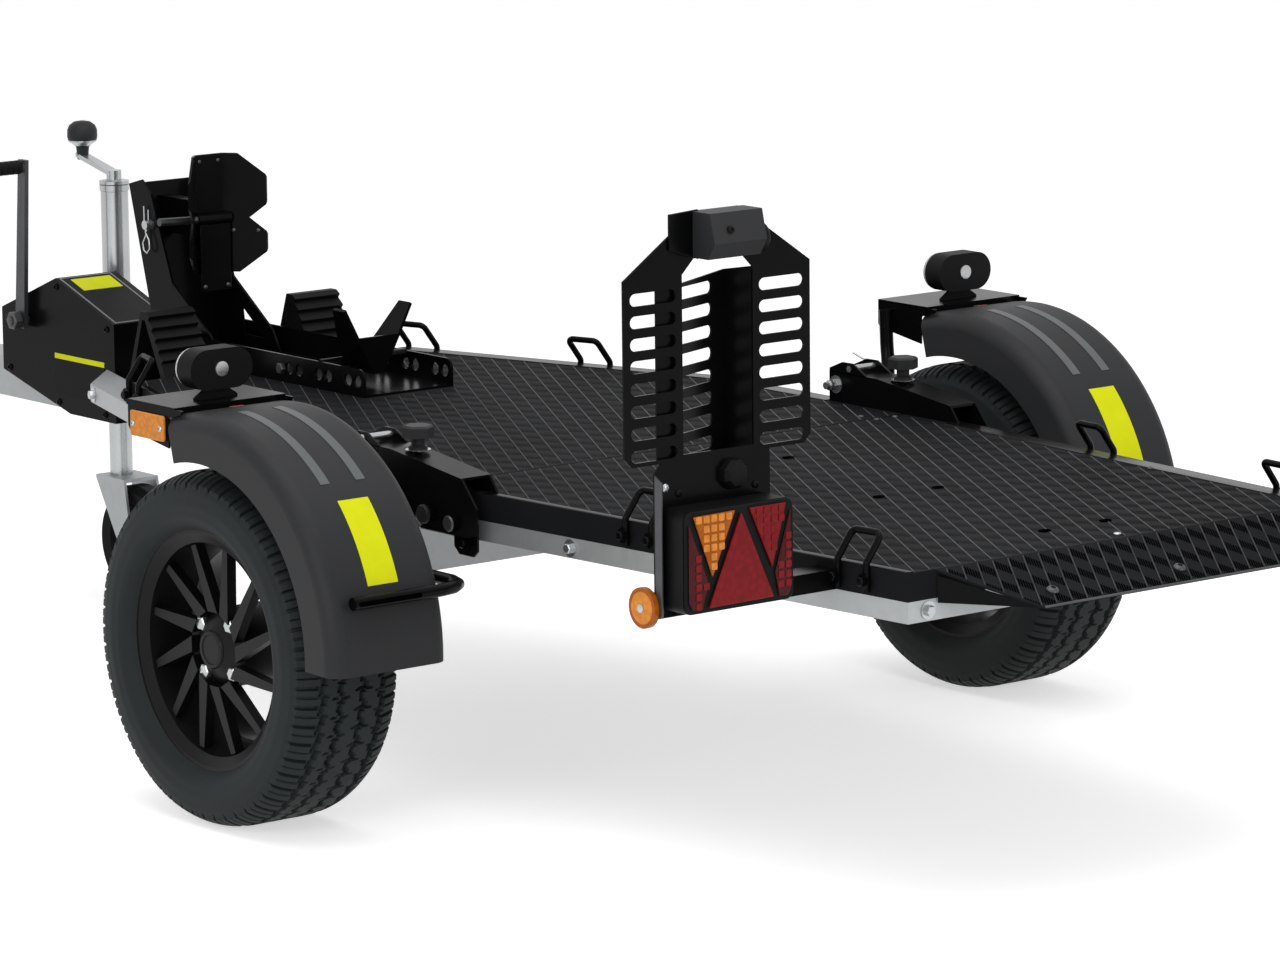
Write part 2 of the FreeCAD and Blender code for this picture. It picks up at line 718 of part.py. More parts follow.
def arc_loop(sketch, items):
    """A closed outline of points; an item's third entry makes the run to the next point an arc round a centre."""
    first = sketch.GeometryCount
    spots = [FreeCAD.Vector(value(item[0]), value(item[1]), 0) for item in items]
    count = len(spots)
    normal = FreeCAD.Vector(0, 0, 1)
    starts = []
    for index, item in enumerate(items):
        here = spots[index]
        there = spots[(index + 1) % count]
        if item[2] is None:
            sketch.addGeometry(Part.LineSegment(here, there), False)
            starts.append((1, 2))
            continue
        radius, centre_a, centre_b = item[2]
        centre = FreeCAD.Vector(value(centre_a), value(centre_b), 0)
        begin = math.atan2(here.y - centre.y, here.x - centre.x)
        end = math.atan2(there.y - centre.y, there.x - centre.x)
        sweep = (end - begin) % (2 * math.pi)
        if sweep <= math.pi:
            sketch.addGeometry(Part.ArcOfCircle(Part.Circle(centre, normal, value(radius)), begin, begin + sweep), False)
            starts.append((1, 2))
        else:
            sketch.addGeometry(Part.ArcOfCircle(Part.Circle(centre, normal, value(radius)), end, end + 2 * math.pi - sweep),
                               False)
            starts.append((2, 1))
    for index in range(count):
        following = (index + 1) % count
        sketch.addConstraint(Sketcher.Constraint("Coincident", first + index, starts[index][1],
                                                 first + following, starts[following][0]))
    for index, item in enumerate(items):
        tie(sketch, "DistanceX", -1, 1, first + index, starts[index][0], item[0])
        tie(sketch, "DistanceY", -1, 1, first + index, starts[index][0], item[1])
        if item[2] is not None:
            tie(sketch, "Radius", first + index, item[2][0])


def marker_lamps():
    """A two-faced oval outline lamp on a folded foot on each fender bracket."""
    made = []
    for side, sign in SIDES:
        body = doc.addObject("PartDesign::Body", f"{side}_marker")
        foot = f"( {FENDER_CROWN} + seat_gap + plate_thickness )"
        place(body, x="axle_x + marker_x", y=f"{sign} * {WHEEL_Y}", z=foot)
        stem = new_sketch(body, "YZ", "foot")
        wide = "( marker_foot / 2 )"
        neck = "( marker_neck / 2 )"
        loop(stem, [(f"- {wide}", "0"), (wide, "0"), (wide, "plate_thickness"), (neck, "marker_rise / 3"),
                    (neck, "marker_rise - marker_height / 4"), (f"- {neck}", "marker_rise - marker_height / 4"),
                    (f"- {neck}", "marker_rise / 3"), (f"- {wide}", "plate_thickness")])
        pad(body, stem, "1.5 * plate_thickness", name="Foot")
        oval = new_sketch(body, "YZ", "oval")
        slot(oval, "0", "marker_rise", "marker_width", "marker_height")
        pad(body, oval, "marker_depth", name="Oval")
        made.append(body)
    compound("marker_lamps", made)


def lock_bracket(side, sign):
    """The folded bracket that joins the axle beam, the rails and the deck's edge, with two pivot pins."""
    body = new_body(f"{side}_lock_bracket", y=f"{sign} * {BRACKET_Y}")
    wall = "bracket_wall"
    beam_top = f"( {BEAM_LOW} + beam_size )"
    width = "bracket_width"
    top = [("bracket_front", BRACKET_TOP), ("bracket_bend", BRACKET_TOP), ("bracket_rear", f"{BRACKET_TOP} - 22")]
    roof = new_sketch(body, "XZ", "roof")
    loop(roof, top + [(a, f"{b} - {wall}") for a, b in reversed(top)])
    feature = pad(body, roof, width, False, "Roof")
    feature.Reversed = sign > 0
    inside = new_sketch(body, "XZ", "inside")
    loop(inside, top + [("bracket_rear - 20", "deck_height"), ("bracket_front", "deck_height")])
    feature = pad(body, inside, wall, False, "Inside")
    feature.Reversed = sign > 0
    outside = new_sketch(body, "XZ", "outside", f"{- sign} * ( bracket_width - {wall} )")
    tail = "( bracket_rear - 36 )"
    loop(outside, top + [(tail, f"{RAIL_TOP} + 25"), (tail, f"{RAIL_TOP} - 13"), (f"{tail} + 22", f"{RAIL_TOP} - 20"),
                         ("beam_forward - beam_size / 2 - 140", f"{RAIL_TOP} - 20"),
                         ("beam_forward - beam_size / 2", beam_top), ("beam_forward + beam_size / 2", beam_top),
                         ("beam_forward + beam_size / 2", f"{BRACKET_TOP} - 40")])
    feature = pad(body, outside, wall, False, "Outside")
    feature.Reversed = sign > 0
    pins = new_sketch(body, "XZ", "pins", f"{- sign} * ( deck_half_width - {BRACKET_Y} )")
    circle(pins, "bracket_rear + 80", f"{RAIL_TOP} + 4", "pivot_pin / 2")
    circle(pins, "bracket_rear + 20", f"{RAIL_TOP} - 2", "pivot_pin / 2")
    feature = pad(body, pins, f"{BRACKET_Y} + bracket_width - deck_half_width + 8", False, "Pins")
    feature.Reversed = sign > 0
    hole = new_sketch(body, "XY", "hole", BRACKET_TOP)
    circle(hole, "knob_x", f"{sign} * ( {KNOB_Y} - {BRACKET_Y} )", "knob_rod / 2 + bearing_gap")
    pocket(body, hole, "30")


def lock_knob(side, sign):
    body = new_body(f"{side}_lock_knob", x="axle_x + knob_x", y=f"{sign} * {KNOB_Y}")
    seat = f"( {BRACKET_TOP} + 0.5 )"
    low = "( deck_height + 2 )"
    sketch = new_sketch(body, "XZ", "profile")
    loop(sketch, [("0", low), ("knob_rod / 2", low), ("knob_rod / 2", seat), ("0.6 * knob_head", seat),
                  ("0.6 * knob_head", f"{seat} + 4"), ("0.42 * knob_head", f"{seat} + 7"),
                  ("0.42 * knob_head", f"{seat} + 20"), ("0", f"{seat} + 20")])
    revolve(body, sketch, "Z", "Stem")
    head = new_sketch(body, "XY", "head", f"{seat} + 18")
    half = "( knob_head / 2 )"
    flat = "( 0.866 * knob_head )"
    loop(head, [("knob_head", "0"), (half, flat), (f"- {half}", flat), ("- knob_head", "0"), (f"- {half}", f"- {flat}"),
                (half, f"- {flat}")])
    feature = pad(body, head, "0.75 * knob_head", False, "Head")
    doc.recompute()
    top = value(f"{seat} + 18 + 0.75 * knob_head")
    bevel = body.newObject("PartDesign::Chamfer", "Bevel")
    bevel.Base = (feature, edges_where(feature, lambda middle, along: abs(middle.z - top) < 0.01))
    bevel.setExpression("Size", bind("knob_head / 8"))


def tyre(side, sign):
    body = new_body(f"{side}_tyre", y=f"{sign} * {WHEEL_Y}", z=HUB_Z)
    out = "( tyre_diameter / 2 )"
    bead = "( bead_diameter / 2 + seat_gap )"
    lip = "( rim_lip_diameter / 2 + seat_gap )"
    wide = "( tyre_width / 2 )"
    seat = "( rim_width / 2 - 10 - seat_gap )"
    half = "( rim_width / 2 - seat_gap )"
    skin = [(bead, seat), (lip, half), (f"{lip} + 6", f"{half} + 9"), (f"{lip} + 22", f"{wide} - 1"),
            (f"{lip} + 34", wide), (f"{out} - 30", f"{wide} - 4"), (f"{out} - 12", f"{wide} - 13"),
            (f"{out} - 4", f"{wide} - 25"), (out, f"{wide} - 55")]
    lining = [(bead, f"{seat} - 16"), (f"{lip} + 2", f"{half} - 6"), (f"{lip} + 28", f"{wide} - 12"),
              (f"{out} - 24", f"{wide} - 18"), (f"{out} - 13", f"{wide} - 45")]
    points = skin + [(r, f"- ( {a} )") for r, a in reversed(skin)]
    points += [(r, f"- ( {a} )") for r, a in lining]
    points += [(r, a) for r, a in reversed(lining)]
    sketch = new_sketch(body, "XY", "profile")
    loop(sketch, points)
    revolve(body, sketch, "Y")


def rim(side, sign):
    body = new_body(f"{side}_rim", y=f"{sign} * {WHEEL_Y}", z=HUB_Z)
    bead = "( bead_diameter / 2 )"
    lip = "( rim_lip_diameter / 2 )"
    half = "( rim_width / 2 )"
    gap = "( bearing_gap )"
    barrel = new_sketch(body, "XY", "barrel")
    seat = f"( {half} - 10 )"
    points = [(bead, f"- {seat}"), (lip, f"- {half}"), (f"{lip} - 5", f"- {half}"), (f"{bead} - 7", f"- {seat}"),
              (f"{bead} - 22", "0"), (f"{bead} - 7", seat), (f"{lip} - 5", half), (lip, half), (bead, seat)]
    loop(barrel, points)
    revolve(body, barrel, "Y", "Barrel")
    hub = new_sketch(body, "XY", "hub")
    bore = "( stub_diameter / 2 + bearing_gap )"
    face = f"{sign} * ( {half} - 30 )"
    inside = f"{sign} * - 60"
    cap = f"{sign} * ( {half} - 12 )"
    loop(hub, [(bore, inside), ("hub_diameter / 2", inside), ("hub_diameter / 2", face), ("28", cap), ("0", cap),
               ("0", f"{sign} * ( stub_end + 1 )"), (bore, f"{sign} * ( stub_end + 1 )")])
    revolve(body, hub, "Y", "Hub")
    spoke = new_sketch(body, "XZ", "spoke", f"{- sign} * ( {half} - 30 )")
    root = "( hub_diameter / 2 - 4 )"
    reach = f"( {bead} - 10 )"
    tip_x = f"( {reach} * sin ( spoke_lean ) )"
    tip_z = f"( {reach} * cos ( spoke_lean ) )"
    loop(spoke, [("- spoke_root / 2", root), ("spoke_root / 2", root), (f"{tip_x} + spoke_tip / 2", f"{tip_z} - 2"),
                 (f"{tip_x} - spoke_tip / 2", f"{tip_z} + 2")])
    bar = pad(body, spoke, "spoke_depth", False, "Spoke")
    bar.Reversed = sign > 0
    ring = body.newObject("PartDesign::PolarPattern", "Spokes")
    ring.Originals = [bar]
    ring.Axis = (origin_feature(body, "Y_Axis"), [""])
    ring.Angle = 360
    ring.setExpression("Occurrences", bind("spoke_count"))
    body.Tip = ring


def winch():
    """A folded cover that straddles the drawbar, with a bearing for the crank's shaft."""
    body = new_body("winch_housing")
    low = f"( {RAIL_LOW} - drawbar_size )"
    wall = "winch_wall"
    side = new_sketch(body, "XZ", "side")
    loop(side, [("winch_front", f"{WINCH_ROOF} - 68"), ("winch_ridge", WINCH_ROOF), ("winch_back", f"{WINCH_ROOF} - 61"),
                ("winch_back", low), ("winch_back + 140", low), ("winch_front", f"{low} + 55")])
    pad(body, side, "2 * winch_half_width")
    hollow = new_sketch(body, "XZ", "hollow")
    loop(hollow, [(f"winch_front - {wall}", f"{WINCH_ROOF} - 68 - {wall}"), ("winch_ridge", f"{WINCH_ROOF} - {wall}"),
                  (f"winch_back + {wall}", f"{WINCH_ROOF} - 61 - {wall}"), (f"winch_back + {wall}", f"{low} - 5"),
                  ("winch_back + 140", f"{low} - 5"), (f"winch_front - {wall}", f"{low} + 50")])
    symmetric_pocket(body, hollow, f"2 * ( winch_half_width - {wall} )")
    saddle = new_sketch(body, "YZ", "saddle")
    wide = "( drawbar_size / 2 )"
    loop(saddle, [(f"- {wide}", f"{low} - 5"), (wide, f"{low} - 5"), (wide, RAIL_LOW), (f"- {wide}", RAIL_LOW)])
    pocket(body, saddle)
    boss = new_sketch(body, "XZ", "boss", "- winch_half_width")
    circle(boss, "crank_x", CRANK_Z, "crank_shaft / 2 + 8")
    pad(body, boss, "24", False, "Boss")
    bore = new_sketch(body, "XZ", "bore", "- winch_half_width")
    circle(bore, "crank_x", CRANK_Z, "crank_shaft / 2 + bearing_gap")
    pocket(body, bore, "26", reverse=True)


def winch_crank():
    body = new_body("winch_crank", x="axle_x + crank_x", z=CRANK_Z)
    shaft = new_sketch(body, "XZ", "shaft", "- ( winch_half_width - 20 )")
    circle(shaft, "0", "0", "crank_shaft / 2")
    feature = pad(body, shaft, "40", False, "Shaft")
    feature.Reversed = True
    arm = new_sketch(body, "XZ", "arm", "- ( winch_half_width + 8 )")
    loop(arm, [("- 14", "- 14"), ("14", "- 14"), ("crank_lean + 11", "crank_radius + 12"),
               ("crank_lean - 11", "crank_radius + 12")])
    feature = pad(body, arm, "8", False, "Arm")
    feature.Reversed = True
    grip = new_sketch(body, "XZ", "grip", "- ( winch_half_width + 12 )")
    circle(grip, "crank_lean", "crank_radius", "crank_grip / 2")
    feature = pad(body, grip, "110", False, "Grip")
    feature.Reversed = True


def jockey():
    x = "axle_x + jockey_x"
    outer = new_body("jockey_outer_tube", x=x, y="jockey_y")
    sketch = new_sketch(outer, "XY", "ring", SLEEVE_LOW)
    circle(sketch, "0", "0", "jockey_tube / 2")
    circle(sketch, "0", "0", "jockey_inner_tube / 2 + bearing_gap")
    pad(outer, sketch, f"{JOCKEY_TOP} - {SLEEVE_LOW}", False)
    clamp = new_body("jockey_clamp", x=x, y="jockey_y")
    ring = new_sketch(clamp, "XY", "ring", f"{RAIL_LOW} - drawbar_size")
    side_y = "( - winch_half_width - jockey_y )"
    loop(ring, [("- 34", "- 34"), ("34", "- 34"), ("34", side_y), ("- 34", side_y)])
    circle(ring, "0", "0", "jockey_tube / 2")
    pad(clamp, ring, "60", False)
    inner = new_body("jockey_inner_tube", x=x, y="jockey_y")
    sketch = new_sketch(inner, "XY", "round", "jockey_crown + 6")
    circle(sketch, "0", "0", "jockey_inner_tube / 2")
    circle(sketch, "0", "0", "jockey_inner_tube / 2 - 4")
    pad(inner, sketch, "jockey_inner_length", False)
    fork = new_body("jockey_fork", x=x, y="jockey_y")
    crown = new_sketch(fork, "XY", "crown", "jockey_crown")
    arm_out = "( jockey_wheel_width / 2 + 11 )"
    arm_in = "( jockey_wheel_width / 2 + 6 )"
    loop(crown, [("- jockey_trail", f"- {arm_out}"), ("26", f"- {arm_out}"), ("26", arm_out), ("- jockey_trail", arm_out)])
    pad(fork, crown, "5.7", False)
    for way in ("", "- "):
        arm = new_sketch(fork, "XZ", "arm", f"{way}{arm_in}")
        loop(arm, [("- jockey_trail - 15", "jockey_wheel_diameter / 2 - 15"),
                   ("- jockey_trail + 15", "jockey_wheel_diameter / 2 - 15"), ("26", "jockey_crown"),
                   ("26", "jockey_crown + 5.7"), ("- jockey_trail", "jockey_crown + 5.7"),
                   ("- jockey_trail - 15", "jockey_wheel_diameter / 2 + 20")])
        feature = pad(fork, arm, "5", False, "Arm")
        feature.Reversed = bool(way)
    stem = new_sketch(fork, "XY", "stem", "jockey_crown")
    circle(stem, "0", "0", "jockey_inner_tube / 2 - 4 - bearing_gap")
    pad(fork, stem, "50", False, "Stem")
    pin = new_sketch(fork, "XZ", "pin")
    circle(pin, "- jockey_trail", "jockey_wheel_diameter / 2", "8")
    pad(fork, pin, f"2 * {arm_out}", True, "Pin")
    wheel = new_body("jockey_wheel", x=f"{x} - jockey_trail", y="jockey_y", z="jockey_wheel_diameter / 2")
    out = "( jockey_wheel_diameter / 2 )"
    half = "( jockey_wheel_width / 2 )"
    profile = new_sketch(wheel, "XY", "profile")
    loop(profile, [("8 + bearing_gap", f"- {half}"), ("22", f"- {half}"), ("26", "- 12"), (f"{out} - 35", "- 12"),
                   (f"{out} - 30", f"- {half} + 4"), (f"{out} - 10", f"- {half}"), (out, "- 12"), (out, "12"),
                   (f"{out} - 10", half), (f"{out} - 30", f"{half} - 4"), (f"{out} - 35", "12"), ("26", "12"),
                   ("22", half), ("8 + bearing_gap", half)])
    revolve(wheel, profile, "Y")
    crank = new_body("jockey_crank", x=x, y="jockey_y")
    cap = new_sketch(crank, "XZ", "cap")
    loop(cap, [("0", f"{JOCKEY_TOP} + 0.5"), ("26", f"{JOCKEY_TOP} + 0.5"), ("26", f"{JOCKEY_TOP} + 6"),
               ("13", f"{JOCKEY_TOP} + 8"), ("13", f"{JOCKEY_TOP} + 24"), ("0", f"{JOCKEY_TOP} + 24")])
    revolve(crank, cap, "Z", "Cap")
    arm = new_sketch(crank, "XZ", "arm")
    loop(arm, [("0", f"{JOCKEY_TOP} + 14"), ("0", f"{JOCKEY_TOP} + 22"), ("jockey_crank_reach", f"{JOCKEY_TOP} + 46"),
               ("jockey_crank_reach", f"{JOCKEY_TOP} + 38")])
    pad(crank, arm, "20", True, "Arm")
    knob = new_sketch(crank, "XZ", "knob")
    knob.setExpression("AttachmentOffset.Base.x", bind("jockey_crank_reach - 8"))
    low = f"( {JOCKEY_TOP} + 34 )"
    arc_loop(knob, [("0", low, None), ("9", low, None), ("11", f"{low} + 22", None),
                    ("jockey_knob / 2", f"{low} + 32", None),
                    ("jockey_knob / 2", f"{low} + 42", ("jockey_knob / 2", "0", f"{low} + 42")),
                    ("0", f"{low} + 42 + jockey_knob / 2", None)])
    turn = body_revolve(crank, knob, "Knob")
    turn.Angle = 360


def chock_base():
    """The channel on the deck, with the rocker's pin and a row of round holes along each wall."""
    base = new_body("chock_base")
    wide = "( chock_half_width + 25 )"
    floor = new_sketch(base, "XY", "floor", "deck_height")
    loop(floor, [("chock_rear", f"- {wide}"), ("chock_front", f"- {wide}"), ("chock_front", wide), ("chock_rear", wide)])
    pad(base, floor, "chock_wall", False, "Floor")
    corner = "( chock_wall_height / 3 )"
    high = "( deck_height + chock_wall_height )"
    for way in ("", "- "):
        side = new_sketch(base, "XZ", "wall", f"{way}{wide}")
        arc_loop(side, [("chock_rear", "deck_height", None), ("chock_front", "deck_height", None),
                        ("chock_front", high, None),
                        (f"chock_rear + {corner}", high, (corner, f"chock_rear + {corner}", f"{high} - {corner}")),
                        ("chock_rear", f"{high} - {corner}", None)])
        feature = pad(base, side, "chock_wall", False, "Wall")
        feature.Reversed = bool(way)
    holes = new_sketch(base, "XZ", "holes")
    for number in range(6):
        along = f"( chock_rear + 18 + {number // 2} * 4 * chock_hole + {number % 2} * 1.3 * chock_hole )"
        circle(holes, along, "deck_height + 0.55 * chock_wall_height", "chock_hole / 2")
    pocket(base, holes, name="Holes")
    rest = new_sketch(base, "XY", "rest", RAIL_TOP)
    loop(rest, [("crossmember_nose", f"- {wide}"), ("crossmember_nose + crossmember_width", f"- {wide}"),
                ("crossmember_nose + crossmember_width", wide), ("crossmember_nose", wide)])
    pad(base, rest, "skirt_height", False, "Rest")
    pin = new_sketch(base, "XZ", "pin")
    circle(pin, "rocker_pivot_x", ROCKER_Z, "rocker_pin / 2")
    pad(base, pin, f"2 * {wide}", True, "Pin")


def chock_tower():
    """Two leaning side plates with a gusset window at the foot, joined by a web at the front."""
    tower = new_body("chock_tower")
    foot = "( deck_height + chock_wall )"
    half = "chock_half_width"
    front = "( tower_foot + 40 )"
    for way in ("", "- "):
        side = new_sketch(tower, "XZ", "side", f"{way}{half}")
        loop(side, [("tower_foot - 140", foot), (front, foot), ("tower_head + 30", TOWER_TOP),
                    ("tower_head - 8", f"{TOWER_TOP} + 10"), ("tower_head - 34", f"{TOWER_TOP} - 12"),
                    ("tower_foot - 6", f"{foot} + 118"), ("tower_foot - 116", f"{foot} + 40")])
        loop(side, [("tower_foot - 96", f"{foot} + 22"), ("tower_foot - 36", f"{foot} + 22"),
                    ("tower_foot - 30", f"{foot} + 70")])
        feature = pad(tower, side, "chock_wall", False, "Side")
        feature.Reversed = bool(way)
    web = new_sketch(tower, "XZ", "web")
    loop(web, [(f"{front} - chock_wall", foot), (front, foot), ("tower_head + 30", TOWER_TOP),
               ("tower_head + 30 - chock_wall", TOWER_TOP)])
    pad(tower, web, f"2 * {half}", True, "Web")


def chock_cradle():
    """A flat spine with two wings folded back, cut to a waist between its upper and lower halves."""
    cradle = new_body("chock_cradle")
    spine = "cradle_spine"
    flat = "cradle_flat"
    tip = "cradle_half_width"
    back = "( cradle_spine - cradle_reach )"
    vee = new_sketch(cradle, "XY", "vee", CRADLE_LOW)
    loop(vee, [(f"{spine} - chock_wall", f"- {flat}"), (back, f"- {tip} + 2"), (f"{back} + 2", f"- {tip} - 2"),
               (spine, f"- {flat} - 2"), (spine, f"{flat} + 2"), (f"{back} + 2", f"{tip} + 2"), (back, f"{tip} - 2"),
               (f"{spine} - chock_wall", flat)])
    pad(cradle, vee, "cradle_height", False)
    cuts = new_sketch(cradle, "YZ", "cuts")
    top = f"( {CRADLE_LOW} + cradle_height )"
    waist = f"( {CRADLE_LOW} + 0.46 * cradle_height )"
    past = f"( {tip} + 10 )"
    bite = "( 0.12 * cradle_height )"
    for way in ("", "- "):
        loop(cuts, [(f"{way}{past}", f"{top} + 5"), (f"{way}( {past} - 2 * {bite} )", f"{top} + 5"),
                    (f"{way}{past}", f"{top} - 2 * {bite}")])
        loop(cuts, [(f"{way}{past}", f"{waist} + 1.5 * {bite}"), (f"{way}( {past} - 1.3 * {bite} )", waist),
                    (f"{way}{past}", f"{waist} - 1.5 * {bite}")])
        loop(cuts, [(f"{way}{past}", f"{CRADLE_LOW} - 5"), (f"{way}( {past} - 2 * {bite} )", f"{CRADLE_LOW} - 5"),
                    (f"{way}{past}", f"{CRADLE_LOW} + 2 * {bite}")])
    pocket(cradle, cuts, name="Corners")
    lean = f"( ( tower_head - tower_foot - 10 ) / ( {TOWER_TOP} - deck_height - chock_wall ) )"

    def web_at(z):
        return f"( tower_foot + 40 - chock_wall + ( {z} - deck_height - chock_wall ) * {lean} - seat_gap )"

    low = f"( {CRADLE_LOW} + 0.3 * cradle_height )"
    high = f"( {CRADLE_LOW} + 0.6 * cradle_height )"
    strut = new_sketch(cradle, "XZ", "strut")
    loop(strut, [(f"{spine} - 3", low), (web_at(low), low), (web_at(high), high), (f"{spine} - 3", high)])
    pad(cradle, strut, f"{flat}", True, "Strut")
    bar = new_sketch(cradle, "XZ", "bar")
    circle(bar, f"{spine} - cradle_pin / 2 - chock_wall + 1", waist, "cradle_pin / 2")
    pad(cradle, bar, f"2 * ( {flat} + cradle_pin / 3 )", True, "Bar")


def chock_rocker():
    """The tilting trough that the wheel rolls over: a vee with flared wings and a closed rear."""
    rocker = new_body("chock_rocker", x="axle_x + rocker_pivot_x", z=ROCKER_Z)
    trough = new_sketch(rocker, "YZ", "trough", "- rocker_reach")
    side = [("10", "- 19"), ("44", "42"), ("68", "88"), ("64", "91"), ("40", "45"), ("8", "- 15")]
    loop(trough, side + [(f"- {y}", z) for y, z in reversed(side)])
    pad(rocker, trough, "rocker_reach + 18", False, "Trough")
    slope = new_sketch(rocker, "XZ", "slope")
    loop(slope, [("- rocker_reach + 30", "93"), ("20", "20"), ("30", "100")])
    pocket(rocker, slope, name="Slope")
    back = new_sketch(rocker, "YZ", "back", "- rocker_reach")
    loop(back, [("- 10", "- 19"), ("10", "- 19"), ("44", "42"), ("- 44", "42")])
    pad(rocker, back, "chock_wall", False, "Back")
    eye = new_sketch(rocker, "XZ", "eye")
    circle(eye, "0", "0", "rocker_pin / 2 + 6")
    pad(rocker, eye, "40", True, "Eye")
    bore = new_sketch(rocker, "XZ", "bore")
    circle(bore, "0", "0", "rocker_pin / 2 + bearing_gap")
    pocket(rocker, bore)


def chock_wedges():
    """Two wheel wedges with steps on the sloping face and an open triangle inside."""
    wedges = []
    for side, sign in SIDES:
        body = doc.addObject("PartDesign::Body", f"{side}_wedge")
        place(body, y=f"{sign} * wedge_y", z=RAIL_TOP)
        outline = new_sketch(body, "XZ", "wedge")
        low = "( wedge_x - 80 )"
        ridge = "( wedge_x - 8 )"
        outer = [(low, "0"), ("wedge_x + 55", "0"), ("wedge_x + 8", "wedge_height"), (ridge, "wedge_height")]
        for step in range(wedge_steps, 0, -1):
            share = f"{step} / {wedge_steps + 3} + 3 / {wedge_steps + 3}"
            at = f"( {low} + ( {share} - 0.07 ) * ( {ridge} - {low} ) )"
            level = f"( ( {share} - 0.07 ) * wedge_height )"
            outer.append((f"{at} - 5", f"{level} + 3"))
            outer.append((at, f"{level} - 3"))
        loop(outline, outer)
        loop(outline, [("wedge_x - 58", "10"), ("wedge_x + 40", "10"), ("wedge_x + 4", "wedge_height - 14"),
                       ("wedge_x - 4", "wedge_height - 14")])
        pad(body, outline, "wedge_width")
        wedges.append(body)
    compound("chock_wedges", wedges)


def edge_at(x):
    """The skirt's outer half width at a place along X."""
    if x < value("deck_seam"):
        return value(half_width(x))
    if x > value("deck_corner"):
        return value(nose_width(x))
    return value("deck_half_width")


def lashing_rings():
    """Bent bar loops bolted along the deck's edges."""
    made = []
    thick = value("ring_bar")
    half = value("ring_width / 2")
    low = value(RAIL_TOP) + 6
    high = value("deck_height") + 5
    top = value("deck_height + ring_rise")
    lean = value("ring_lean")
    for number, at in enumerate(("ring_nose", "ring_front", "ring_middle", "ring_rear")):
        x = value(at)
        gap = thick / 2 * (1.06 if x > value("deck_corner") else 1.003) + value("seat_gap")
        back = edge_at(x - half) + gap
        front = edge_at(x + half) + gap
        points = [(x - half, back, low, 0), (x - half, back, high, thick), (x - half, back - lean, top, thick),
                  (x + half, front - lean, top, thick), (x + half, front, high, thick), (x + half, front, low, 0)]
        for side, sign in SIDES:
            ring = tube_along(points, thick)
            if sign < 0:
                ring = ring.mirror(FreeCAD.Vector(0, 0, 0), FreeCAD.Vector(0, 1, 0))
            made.append(shape_piece(f"{side}_ring_{number}", ring, listed=False))
    compound("lashing_rings", made)


def lamp_bracket(side, sign):
    """The arm off the rail and the plate that carries the lamp; the left one also holds the number plate panel."""
    body = new_body(f"{side}_lamp_bracket")
    way = "" if sign > 0 else "- "
    arm = new_sketch(body, "XY", "arm", RAIL_TOP)
    back = "lamp_station"
    front = "( lamp_station + 40 )"
    edge = "( lamp_centre_y + lamp_width / 2 + 10 )"
    loop(arm, [(back, f"{way}{half_width(back)}"), (front, f"{way}{half_width(front)}"), (front, f"{way}{edge}"),
               (back, f"{way}{edge}")])
    pad(body, arm, "28", False, "Arm")
    plate = new_sketch(body, "YZ", "plate", "lamp_station")
    low = f"( {LAMP_Z} - lamp_height / 2 - 8 )"
    inside = "( lamp_centre_y - lamp_width / 2 )"
    loop(plate, [(f"{way}{inside}", low), (f"{way}{edge}", low), (f"{way}{edge}", PANEL_BOTTOM),
                 (f"{way}{inside}", PANEL_BOTTOM)])
    pad(body, plate, "panel_thickness", False, "Plate")
    if sign > 0:
        number_panel(body)


